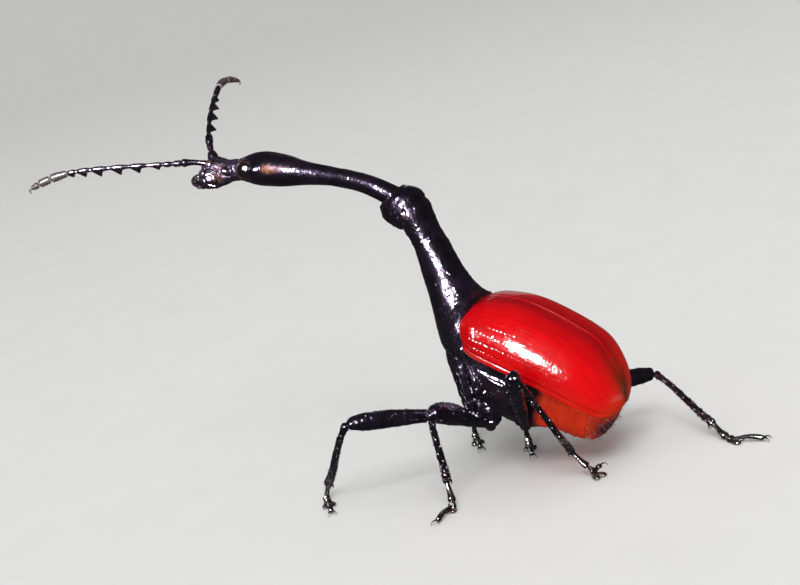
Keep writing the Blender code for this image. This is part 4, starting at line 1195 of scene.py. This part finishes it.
def granules(made, P, shaft, first, last, count, size):
    """Small round beads half sunk in a limb, scattered round it at even steps."""
    k = np.linspace(-1, 1, 8)
    for q in range(count):
        row = first + int((last - first) * (q + .5) / count)
        ring = int(q * 0.618034 * P.shape[1] + RNG.integers(5)) % P.shape[1]
        n = unit(P[row, ring] - shaft[row])
        r = size * (.8 + .4 * RNG.random())
        c = P[row, ring] - n * .40 * r + k[:, None] * r * n
        around = r * np.sqrt(np.clip(1 - k**2, .002, 1))
        made.grid(tube(c, around, around, 10, unit(shaft[row + 1] - shaft[row])))


def leg(name, number):
    base, tip, knee, ankle, foot = LEGS[name]
    pair = name.split("_")[0]
    tip, knee, ankle = vec(*tip), vec(*knee), vec(*ankle)
    foot = [vec(*p) for p in foot]
    thin, club = FEMUR[pair]
    f_dir, t_dir = unit(knee - tip), unit(ankle - knee)
    pole = unit(np.cross(f_dir, t_dir))          # hinge axis of the knee
    inner = unit(np.cross(pole, f_dir))          # from the femur towards the tibia
    if inner @ t_dir < 0:
        inner = -inner

    # ---- femur: trochanter, thin neck, swollen club, two knee lobes
    made = Skin("warm", "dull", "pale")
    bow = -inner * .10
    start = tip - f_dir * .05
    stop = knee - f_dir * .02
    line = line_through([start, start * .65 + stop * .35 + bow * .5, start * .3 + stop * .7 + bow, stop], 160, .05)
    long = line[1][-1]
    s, k = capped(long, .14, .15, 120, 9)
    t = s / long
    rad = k * flow(t, [0, .05, .12, .25, .5, .70, .84, .92, .97, 1],
                   [.24, .26, .20, thin + .02, .80 * club, club, .97 * club, .84 * club, .64 * club, .52 * club], .018)
    flat = 1 - .12 * bell(t - .7, .3)

    def relief(P, th):
        out = -.035 * bell(t - .085, .012)[:, None] * np.ones_like(th)
        lobes = .045 * bell(t - .975, .03)[:, None] * np.abs(np.sin(th))[None]**2
        slot = -.09 * bell(t - .96, .05)[:, None] * bell(np.mod(th + math.pi, 2 * math.pi) - math.pi, .55)[None]
        return (out + lobes + slot - .010 * pits(P, .17, 131 + number, .22) + .020 * noise(P, .19, 132)
                + .0060 * noise(P, .09, 133) + .014 * noise(P, .6, 134)
                + .022 * pits(P, .22, 135 + number, .22))

    P = tube(along(line, s), rad, rad * flat, 64, inner, relief)
    made.grid(P, warm=.02 * np.broadcast_to(bell(t - .1, .06)[:, None], P.shape[:2]), dull=0 * P[..., 0])
    granules(made, P, along(line, s), 30, len(s) - 12, 20, .050)
    made.build(f"thigh_{name}", LEG, [f"femur_{name}"])
    for q in range(30):
        kk, ring = int(RNG.integers(20, len(s) - 12)), int(RNG.integers(64))
        bristle(P[kk, ring], unit(P[kk, ring] - along(line, s)[kk]) * .7 + f_dir * .8, .06 + .05 * RNG.random(), .009, .50 + .20 * (q % 3),
                number * 3, (t[kk], ring / 64))

    # ---- tibia: slim shaft, toothed inner edge, flared end with spurs
    made = Skin("warm", "dull", "pale")
    back = unit(np.cross(t_dir, pole))           # flexor side
    if back @ (-f_dir) < 0:
        back = -back
    k0 = knee + t_dir * 0.0 - back * .02
    sway = back * .07
    line = line_through([k0, k0 * .8 + ankle * .2 - sway * .7, k0 * .45 + ankle * .55 - sway * .2, k0 * .15 + ankle * .85 + sway * .6,
                         ankle], 150, .05)
    long = line[1][-1]
    s, k = capped(long, .13, .10, 160, 9)
    t = s / long
    r_in = k * flow(t, [0, .04, .10, .25, .6, .86, .95, 1], [.165, .19, .140, .140, .152, .176, .192, .165], .012)
    r_out = k * flow(t, [0, .04, .10, .25, .6, .86, .95, 1], [.16, .18, .135, .130, .140, .156, .172, .150], .012)
    if pair == "hind":
        r_in, r_out = r_in * .88, r_out * .88
    teeth = np.zeros_like(t)
    count = 11 if pair == "front" else 9
    for q in range(count):
        at = .34 + .56 * (q + .5) / count
        teeth += (.030 + .020 * q / count) * bell((t - at) * long, .030)

    def relief(P, th):
        a = np.mod(th + math.pi, 2 * math.pi) - math.pi
        inner_edge = bell(a, .35)[None]
        keel = .012 * (bell(a - 1.3, .25) + bell(a + 1.3, .25) + bell(np.abs(a) - math.pi, .3))[None] * rise(t, .08, .2)[:, None]
        groove = -.014 * (bell(a - .75, .16) + bell(a + .75, .16))[None] * (rise(t, .12, .25) * (1 - rise(t, .88, .95)))[:, None]
        return (teeth[:, None] * inner_edge + keel + groove - .008 * pits(P, .11, 141 + number, .28)
                + .010 * noise(P, .15, 142) + .0050 * noise(P, .08, 143)
                + .032 * pits(P, .165, 144 + number, .36))

    shaft = along(line, s)
    P = tube(shaft, r_in, r_out, 52, back, relief)
    made.grid(P, warm=0 * P[..., 0], dull=0 * P[..., 0])
    granules(made, P, shaft, 12, len(s) - 14, 22, .066)
    end = shaft[-10]
    tan = unit(shaft[-1] - shaft[-20])
    # hooked spur and a small pointed one at the end
    for pts, r0 in (([end + back * .12, end + back * .22 + tan * .10, end + back * .30 + tan * .24, end + back * .25 + tan * .37], .065),
                    ([end + back * .05 + pole * .13, end + back * .10 + pole * .17 + tan * .13, end + back * .12 + pole * .17 + tan * .24], .040),
                    ([end + back * .05 - pole * .13, end + back * .10 - pole * .17 + tan * .13, end + back * .12 - pole * .17 + tan * .24], .040)):
        spur = line_through(pts, 30, .08)
        ss, kk = capped(spur[1][-1], r0, .008, 18, 6)
        tt = ss / spur[1][-1]
        made.grid(tube(along(spur, ss), kk * r0 * (1 - .86 * tt), kk * r0 * (1 - .86 * tt), 16, pole))
    made.build(f"shin_{name}", LEG, [f"tibia_{name}"])
    for q in range(150):
        kk, ring = int(RNG.integers(24, len(s) - 12)), int(RNG.integers(52))
        if q % 2:
            kk = int(RNG.integers(len(s) - 40, len(s) - 12))
        bristle(P[kk, ring], unit(P[kk, ring] - shaft[kk]) * .75 + t_dir * .8, .05 + .05 * RNG.random(), .009, .50 + .20 * (q % 3),
                number * 3 + 1, (t[kk], ring / 52))

    # ---- foot
    tarsus(name, number, ankle - t_dir * .04, foot, t_dir)


def tarsus(name, number, ankle, foot, t_dir):
    """Two cone joints, a two-lobed pad, and a long claw joint with its pair of claws."""
    made = Skin("deep", "pale")
    line = line_through([ankle, foot[0], foot[1], foot[2]], 200, .05)
    c, d = line
    whole = d[-1]
    up = vec(0, 0, 1)
    ends = [0, .36, .52]
    for k in range(2):
        s0, s1 = ends[k] * whole, ends[k + 1] * whole
        s, kk = capped(s1 - s0 - .01, .07, .07, 34, 8)
        t = s / (s1 - s0)
        r = kk * smooth(t, [0, .12, .6, .9, 1], [.115, .095, .125 + .012 * k, .160 + .01 * k, .14])
        axis = along(line, s + s0)
        axis[:, 2] = np.maximum(axis[:, 2], r * .93 + .004)
        P = tube(axis, r * .92, r * 1.08, 30, up, lambda P, th: -.008 * pits(P, .08, 151, .3) + .003 * noise(P, .05, 152))
        P[..., 2] = np.maximum(P[..., 2], 0.0)
        made.grid(P, deep=.75)
        for q in range(26):
            i, ring = int(RNG.integers(8, 40)), int(RNG.integers(30))
            low = 1 if P[i, ring, 2] < axis[i, 2] else 0
            bristle(P[i, ring], unit(P[i, ring] - axis[i]) + unit(axis[-1] - axis[0]) * .9, .06 + .05 * low, .006, .3,
                    number * 3 + 2, (ends[k] + .1 * t[i], ring / 30))
    # pad: two lobes side by side, split in front, flat on the floor
    p0 = along(line, np.array([.50 * whole]))[0]
    p1 = along(line, np.array([.70 * whole]))[0]
    ahead = unit((p1 - p0) * vec(1, 1, 0))
    across = np.cross(up, ahead)
    p0 = vec(p0[0], p0[1], 0)
    for side in (1, -1):
        s = np.linspace(0, 1, 40)
        w = np.linspace(.10, math.pi - .10, 40)
        s = (1 - np.cos(w)) / 2
        lobe = p0[None] + ahead * (s * .46)[:, None] + across * (side * (.035 + .13 * rise(s, 0, .7)))[:, None] + up * .085
        P = tube(lobe, .090 * np.sin(w)**.7, .150 * np.sin(w)**.6, 34, up,
                 lambda P, th: .004 * noise(P, .05, 153))
        P[..., 2] = np.maximum(P[..., 2], 0.0)
        made.grid(P, deep=.1)
        for q in range(90):
            i, ring = 3 + (q * 7) % 34, (q * 5) % 34
            if P[i, ring, 2] > .10:
                ring = (ring + 17) % 34
            root = P[i, ring]
            bristle(vec(root[0], root[1], max(root[2], .012)), across * side * .8 + ahead * .5 + vec(0, 0, -.12), .075 + .03 * (q % 4) / 3, .005, .15,
                    number * 3 + 2, (.6 + .2 * s[i], ring / 34))
    # claw joint, rising out of the split and widening to the end
    q0 = p0 + ahead * .06 + up * .15
    q1 = along(line, np.array([whole]))[0]
    if name == "hind_left":
        q1 = q0 + ahead * .50 + up * .46 - across * .05
    rise_mid = (q0 + q1) / 2 + up * .09
    stem = line_through([q0, rise_mid, q1], 60, .10)
    s, kk = capped(stem[1][-1], .05, .07, 40, 8)
    t = s / stem[1][-1]
    r = kk * smooth(t, [0, .3, .8, 1], [.070, .078, .112, .105])
    axis = along(stem, s)
    made.grid(tube(axis, r, r, 28, up, lambda P, th: -.006 * pits(P, .07, 154, .3) + .002 * noise(P, .04, 155)), deep=.9)
    tip, run = axis[-1], unit(axis[-1] - axis[-12])
    side_v = unit(np.cross(up, run))
    up_v = np.cross(run, side_v)
    fall = min(.22, max(tip[2] - .02, .05)) if name != "hind_left" else .20
    for side in (1, -1):
        pts = [tip - run * .05 + side_v * side * .03, tip + run * .10 + side_v * side * .10 + up_v * .05,
               tip + run * .22 + side_v * side * .17 + up_v * .00, tip + run * .27 + side_v * side * .20 - up_v * fall * .8]
        claw = line_through(pts, 36, .08)
        ss, ck = capped(claw[1][-1], .045, .006, 26, 6)
        tt = ss / claw[1][-1]
        P = tube(along(claw, ss), ck * .050 * (1 - .85 * tt**1.3), ck * .040 * (1 - .85 * tt**1.3), 18, side_v)
        P[..., 2] = np.maximum(P[..., 2], 0.0)
        made.grid(P, deep=.85)
    return made.build(f"foot_{name}", PAD, [f"tarsus_{name}"])


# ------------------------------------------------------------------ feelers
SCAPE, FUNICLE, CLUB = 1.10, 5.10, 2.10
HEADINGS = {
    "left": ((.52, -11.70, 15.22), [(26, 29), (28, 12), (27, 10), (26, 8), (26, -2), (27, -20)]),
    "right": ((-.52, -11.80, 15.22), [(47, 50), (62, 40), (72, 29), (73, 17), (75, -2), (78, -22)]),
}


def feeler_line(side):
    start, turns = HEADINGS[side]
    sign = 1 if side == "left" else -1
    total = SCAPE + FUNICLE + CLUB
    at = [0, SCAPE, SCAPE + FUNICLE * .4, SCAPE + FUNICLE * .8, SCAPE + FUNICLE + .1, total]
    steps = 16
    p, points = vec(*start), []
    for k in range(steps + 1):
        s = total * k / steps
        az = math.radians(float(smooth(s, at, [a for a, _ in turns])))
        up = math.radians(float(smooth(s, at, [e for _, e in turns])))
        points.append(p.copy())
        p = p + total / steps * vec(sign * math.sin(az) * math.cos(up), -math.cos(az) * math.cos(up), math.sin(up))
    if side == "left":                           # the ball sits high on the corner of the rostrum
        points = [q + vec(0, 0, .215 * (1 - rise(total * k / steps, 0, 1.25))) for k, q in enumerate(points)]
    return line_through(points, 400, .03)


# joints of the funicle: start, end, thickest radius, place and height of its tooth
JOINTS = {
    "left": [(.92, 1.36, .150, None, 0), (1.28, 1.80, .125, 1.62, .02), (1.74, 2.50, .120, 2.04, .13),
             (2.44, 3.36, .125, 2.98, .23), (3.30, 4.26, .125, 3.86, .25), (4.20, 5.16, .125, 4.78, .25),
             (5.10, 5.84, .125, 5.50, .20), (5.78, 6.32, .125, 6.06, .12)],
    "right": [(1.04, 1.66, .185, None, 0), (1.62, 2.40, .125, 2.05, .27), (2.34, 3.20, .135, 2.86, .31),
              (3.14, 3.92, .135, 3.60, .26), (3.86, 4.52, .140, 4.24, .14), (4.46, 5.50, .150, None, 0)],
}
CLUB_JOINTS = {
    "left": [(6.27, 7.13, .135, .190), (7.13, 7.74, .160, .185), (7.75, 8.16, .135, .115)],
    "right": [(5.44, 6.60, .150, .190), (6.60, 7.50, .165, .180), (7.51, 8.16, .135, .110)],
}


def feeler(side, cell):
    line = feeler_line(side)
    tooth_way = vec(.10, .05, -1.0) if side == "left" else vec(-.477, .842, -.251)
    made = Skin("warm", "dull", "pale")
    # scape: ball at the socket, thin neck, long club
    back, stop = (.10, SCAPE) if side == "right" else (.25, .98)
    s, k = capped(stop + back, .10, .12, 60, 9)
    t = s / (stop + back)
    if side == "right":
        r = k * smooth(t, [0, .12, .32, .52, .64, .78, .92, 1], [.15, .21, .25, .20, .125, .150, .155, .13])
    else:
        r = k * smooth(t, [0, .15, .4, .68, .86, 1], [.17, .140, .125, .145, .190, .165])
    P = tube(along(line, s - back), r, r, 40, tooth_way,
             lambda P, th: -.008 * pits(P, .10, 161, .28) + .004 * noise(P, .12, 162))
    made.grid(P, dull=0 * P[..., 0])
    for j, (s0, s1, wide, peak, high) in enumerate(JOINTS[side]):
        long = s1 - s0
        s, k = capped(long, .05, .06, 46, 8)
        t = s / long
        if peak is None:
            r = k * wide * smooth(t, [0, .3, .7, 1], [.75, 1.0, 1.0, .7])
        else:
            at = (peak - s0) / long
            r = k * wide * smooth(t, [0, .12, max(at - .1, .2), min(at + .18, .9), 1], [.74, .74, 1.0, .97, .74])
        c = along(line, s + s0)
        tan, e1, e2 = carried(c, tooth_way)
        th = 2 * math.pi * np.arange(34) / 34
        P = (c[:, None] + (r[:, None] * np.cos(th))[..., None] * e1[:, None]
             + (r[:, None] * np.sin(th))[..., None] * e2[:, None])
        if peak is not None:
            u = s + s0 - peak
            # steep towards the base, long slope towards the tip
            hgt = high * np.where(u < 0, np.clip(1 + u / (.10 + high * .25), 0, 1)**1.0, np.clip(1 - u / (.16 + high * .75), 0, 1)**1.1)
            hgt = np.convolve(np.pad(hgt, 2, mode="edge"), [.1, .2, .4, .2, .1], "valid")
            face = np.clip(np.cos(th), 0, 1)**3.2
            P = P + (hgt[:, None] * face)[..., None] * e1[:, None] - (hgt[:, None] * face * .38)[..., None] * tan[:, None]
        P = P + normals(P) * (.003 * noise(P, .07, 163 + j) - .005 * pits(P, .08, 170 + j, .3))[..., None]
        made.grid(P)
        for q in range(16):
            i, ring = int(RNG.integers(8, 52)), int(RNG.integers(34))
            bristle(P[i, ring], unit(P[i, ring] - c[i]) * .7 + tan[i] * .8, .07 + .03 * (q % 3) / 2, .005, .5, cell,
                    ((s0 + s[i]) / 8.3, ring / 34))
    made.build(f"feeler_{side}", FEELER, [f"scape_{side}", f"funicle_{side}"])

    made = Skin("deep", "pale")
    for j, (s0, s1, r0, r1) in enumerate(CLUB_JOINTS[side]):
        long = s1 - s0
        s, k = capped(long, .09, .09, 50, 9)
        t = s / long
        r = k * smooth(t, [0, .2, .8, 1], [r0, r0 * 1.08 if j else r0 * 1.2, r1, r1 * .92])
        c = along(line, s + s0)
        P = tube(c, r * 1.04, r * .86, 44, tooth_way, lambda P, th: .006 * noise(P, .05, 181 + j) - .006 * pits(P, .06, 184, .3))
        pale = .60 * bell(t - .03, .035) + .45 * bell(t - .98, .03)
        made.grid(P, pale=np.broadcast_to(pale[:, None], P.shape[:2]), deep=0 * P[..., 0] + .15)
        tan, _, _ = carried(c, tooth_way)
        for q in range(110):
            i, ring = int(RNG.integers(4, 62)), int(RNG.integers(44))
            bristle(P[i, ring], unit(P[i, ring] - c[i]) * .55 + tan[i] * .9, .055 + .03 * (q % 3) / 2, .004, .12, cell + 1,
                    ((s0 + s[i]) / 8.3, ring / 44))
    # hooked last joint
    s0 = 8.14
    p = along(line, np.array([s0 - .04]))[0]
    tan = unit(along(line, np.array([s0]))[0] - along(line, np.array([s0 - .1]))[0])
    down = unit(vec(0, 0, -1) - (vec(0, 0, -1) @ tan) * tan)
    hook = line_through([p, p + tan * .11, p + tan * .19 + down * .05, p + tan * .20 + down * .13, p + tan * .16 + down * .19], 40, .07)
    s, k = capped(hook[1][-1], .06, .02, 30, 7)
    t = s / hook[1][-1]
    made.grid(tube(along(hook, s), k * (.085 - .055 * t), k * (.075 - .05 * t), 24, down), pale=.35)
    made.build(f"feeler_club_{side}", CLUB_SKIN, [f"club_{side}"])


# ----------------------------------------------------------------- bristles
def rear_bristles(P, N):
    """Stiff hairs round the end of the body and sparse ones on the belly."""
    rows = np.arange(P.shape[0])
    for q in range(150):
        i, j = int(RNG.integers(10, 92)), int(RNG.integers(P.shape[1]))
        at = P[i, j]
        if N[i, j, 2] > .35:
            continue
        size = .11 + .10 * ((q * 7) % 5) / 4
        bristle(at, N[i, j] * .8 + vec(0, .8, -.45), size, .010, .62, 22, (i / 96, j / P.shape[1]))


def lay_bristles():
    """Every bristle as a thin curved spike of solid mesh, with its bake patch."""
    sides, rings = 4, 5
    roots = np.array([r[0] for r in ROOTS])
    head = np.array([r[1] for r in ROOTS])
    size = np.array([r[2] for r in ROOTS])
    rad = np.array([r[3] for r in ROOTS])
    dark = np.array([r[4] for r in ROOTS])
    cell = np.array([r[5] for r in ROOTS])
    place = np.array([r[6] for r in ROOTS])
    n = len(roots)
    jit = np.stack([lattice(np.arange(n), np.full(n, k), np.zeros(n, np.int64), 17) for k in range(3)], 1)
    head = unit(head + .18 * jit)
    side_a = unit(np.cross(head, np.where(np.abs(head[:, 2:]) > .9, vec(1, 0, 0), vec(0, 0, 1))))
    side_b = np.cross(head, side_a)
    droop = unit(vec(0, .25, -1)) * .16
    t = np.linspace(0, 1, rings)
    axis = (roots[:, None] - head[:, None] * (.012) + head[:, None] * (t[None, :, None] * size[:, None, None])
            + droop[None, None] * (t**2)[None, :, None] * size[:, None, None])
    th = 2 * math.pi * np.arange(sides) / sides
    r = rad[:, None] * (1 - .88 * t**1.4)[None]
    P = (axis[:, :, None] + (r[..., None] * np.cos(th))[..., None] * side_a[:, None, None]
         + (r[..., None] * np.sin(th))[..., None] * side_b[:, None, None])
    P[..., 2] = np.maximum(P[..., 2], 0.0)
    at = np.arange(n * rings * sides).reshape(n, rings, sides)
    nxt = np.roll(at, -1, 2)
    quads = np.stack([at[:, :-1], nxt[:, :-1], nxt[:, 1:], at[:, 1:]], -1).reshape(-1, 4)
    ends = np.concatenate([at[:, 0, ::-1], at[:, -1]])
    flat = P.reshape(-1, 3)
    # bake patches: an atlas of six by six cells, one to each bristled part, laid out by the place round and along it
    u0 = (cell % 6) / 6 + .006 + place[:, 0] * .150
    v0 = (cell // 6) / 6 + .006 + place[:, 1] * .150
    uv = np.stack([u0[:, None, None] + .003 * np.broadcast_to(t[None, :, None], at.shape),
                   v0[:, None, None] + .003 * np.broadcast_to((np.arange(sides) / (sides - 1))[None, None], at.shape)], -1)
    made = Skin("deep")
    made.add(flat, np.concatenate([quads, ends]), np.zeros((0, 3)), {"deep": np.repeat(dark, rings * sides)})
    print("BRISTLES", n)
    return made.build("bristles", SETA, uv=uv.reshape(-1, 2))


# -------------------------------------------------------------------- stage
def stage():
    """Pale dish: a flat floor whose rim rises all round into the backdrop."""
    prof = []
    for r in np.concatenate([[.012, .03, .06], np.linspace(.10, .34, 9)]):
        prof.append((r, 0.0))
    for w in np.linspace(0, math.pi / 2, 33)[1:]:
        prof.append((.34 + .42 * math.sin(w), .42 * (1 - math.cos(w))))
    for z in np.linspace(.42, .95, 8)[1:]:
        prof.append((.76, z))
    m = 160
    th = 2 * math.pi * np.arange(m) / m
    P = np.array([[(r * math.cos(a), r * math.sin(a), z) for a in th] for r, z in prof])
    verts = np.vstack([P.reshape(-1, 3), [[0, 0, 0]]])
    at = np.arange(len(prof) * m).reshape(len(prof), m)
    nxt = np.roll(at, -1, 1)
    quads = np.stack([at[:-1], at[1:], nxt[1:], nxt[:-1]], -1).reshape(-1, 4)
    fan = [(len(verts) - 1, int(a), int(b)) for a, b in zip(at[0], nxt[0])]
    mesh = bpy.data.meshes.new("floor")
    mesh.from_pydata([tuple(v) for v in verts], [], [tuple(int(i) for i in q) for q in quads] + fan)
    mesh.update()
    mesh.shade_smooth()
    made, nodes, links, shader, where = new_material("paper")
    fine = cloud(nodes, links, where, 4.0, 2)
    links.new(blend(nodes, links, ramp(nodes, links, fine, .3, .7), (.70, .70, .69), (.72, .72, .71)), shader.inputs["Base Color"])
    shader.inputs["Roughness"].default_value = .8
    shader.inputs["Specular IOR Level"].default_value = 0.0
    mesh.materials.append(made)
    obj = bpy.data.objects.new("floor", mesh)
    bpy.context.scene.collection.objects.link(obj)
    obj.visible_glossy = False


def softbox(name, at, look, size, power, colour=(1, 1, 1), spread=180, diffuse=True):
    data = bpy.data.lights.new(name, "AREA")
    data.shape = "RECTANGLE"
    data.size, data.size_y = size
    data.energy = power
    data.color = colour
    data.spread = math.radians(spread)
    obj = bpy.data.objects.new(name, data)
    obj.location = at
    obj.rotation_mode = "QUATERNION"
    obj.rotation_quaternion = (Vector(look) - Vector(at)).to_track_quat("-Z", "Y")
    obj.visible_camera = False
    if not diffuse:
        obj.visible_diffuse = False
    bpy.context.scene.collection.objects.link(obj)
    return obj


LOW_LIT = bpy.data.collections.new("low_lit")
SHIN_LIT = bpy.data.collections.new("shin_lit")


def lights():
    middle = (0, .001, .008)
    softbox("flash_box", (.134, .012, .082), middle, (.030, .044), 1.50, diffuse=False)
    key = softbox("key", (.16, .10, .26), middle, (.20, .16), .50)
    key.visible_glossy = False
    top = softbox("overhead", (-.03, .03, 1.10), middle, (1.30, 1.30), 4.4)
    top.visible_glossy = False
    softbox("far_side", (-.18, -.08, .045), middle, (.05, .08), .005, diffuse=False)
    softbox("front_fill", (-.12, -.20, .060), middle, (.06, .10), .05, diffuse=False)
    # a low box for the black parts only, kept off the wing cases
    low = softbox("low_box", (.150, .034, .026), middle, (.030, .030), .50, diffuse=False)
    low.light_linking.receiver_collection = LOW_LIT
    # and one beside the camera for the shins
    side = softbox("shin_box", (.105, .105, .060), middle, (.030, .030), .22, diffuse=False)
    side.light_linking.receiver_collection = SHIN_LIT
    world = bpy.data.worlds.new("studio")
    world.use_nodes = True
    nodes, links = world.node_tree.nodes, world.node_tree.links
    ray = nodes.new("ShaderNodeLightPath")
    power = nodes.new("ShaderNodeMapRange")
    power.inputs["To Min"].default_value, power.inputs["To Max"].default_value = .44, .030
    links.new(ray.outputs["Is Glossy Ray"], power.inputs["Value"])
    links.new(power.outputs["Result"], nodes["Background"].inputs["Strength"])
    nodes["Background"].inputs["Color"].default_value = (1, 1, 1, 1)
    bpy.context.scene.world = world
    look = bpy.context.scene.view_settings
    look.view_transform = "Standard"
    look.look = "None"


def camera():
    data = bpy.data.cameras.new("photo_view")
    data.lens, data.sensor_width, data.sensor_fit = 67.5, 36.0, "HORIZONTAL"
    data.clip_start, data.clip_end = .002, 10.0
    data.dof.use_dof = False
    obj = bpy.data.objects.new("photo_view", data)
    right, up, back = (-.47688, .84229, -.25129), (-.33215, .09201, .93873), (.8138, .53112, .23589)
    at = (.054437, .035573, .023787)
    obj.matrix_world = Matrix([[right[k], up[k], back[k], at[k]] for k in range(3)] + [[0, 0, 0, 1]])
    bpy.context.scene.collection.objects.link(obj)
    bpy.context.scene.camera = obj


# -------------------------------------------------------------------- build
camera()
lights()
stage()
capsule()
for which in ("left", "right"):
    eye(which)
mouth()
prothorax()
for which in ("left", "right"):
    elytron(which)
scutellum()
thorax()
abdomen()
rear_bristles(*pygidium())
for index, which in enumerate(LEGS):
    coxa(which)
    leg(which, index)
feeler("left", 18)
feeler("right", 20)
lay_bristles()
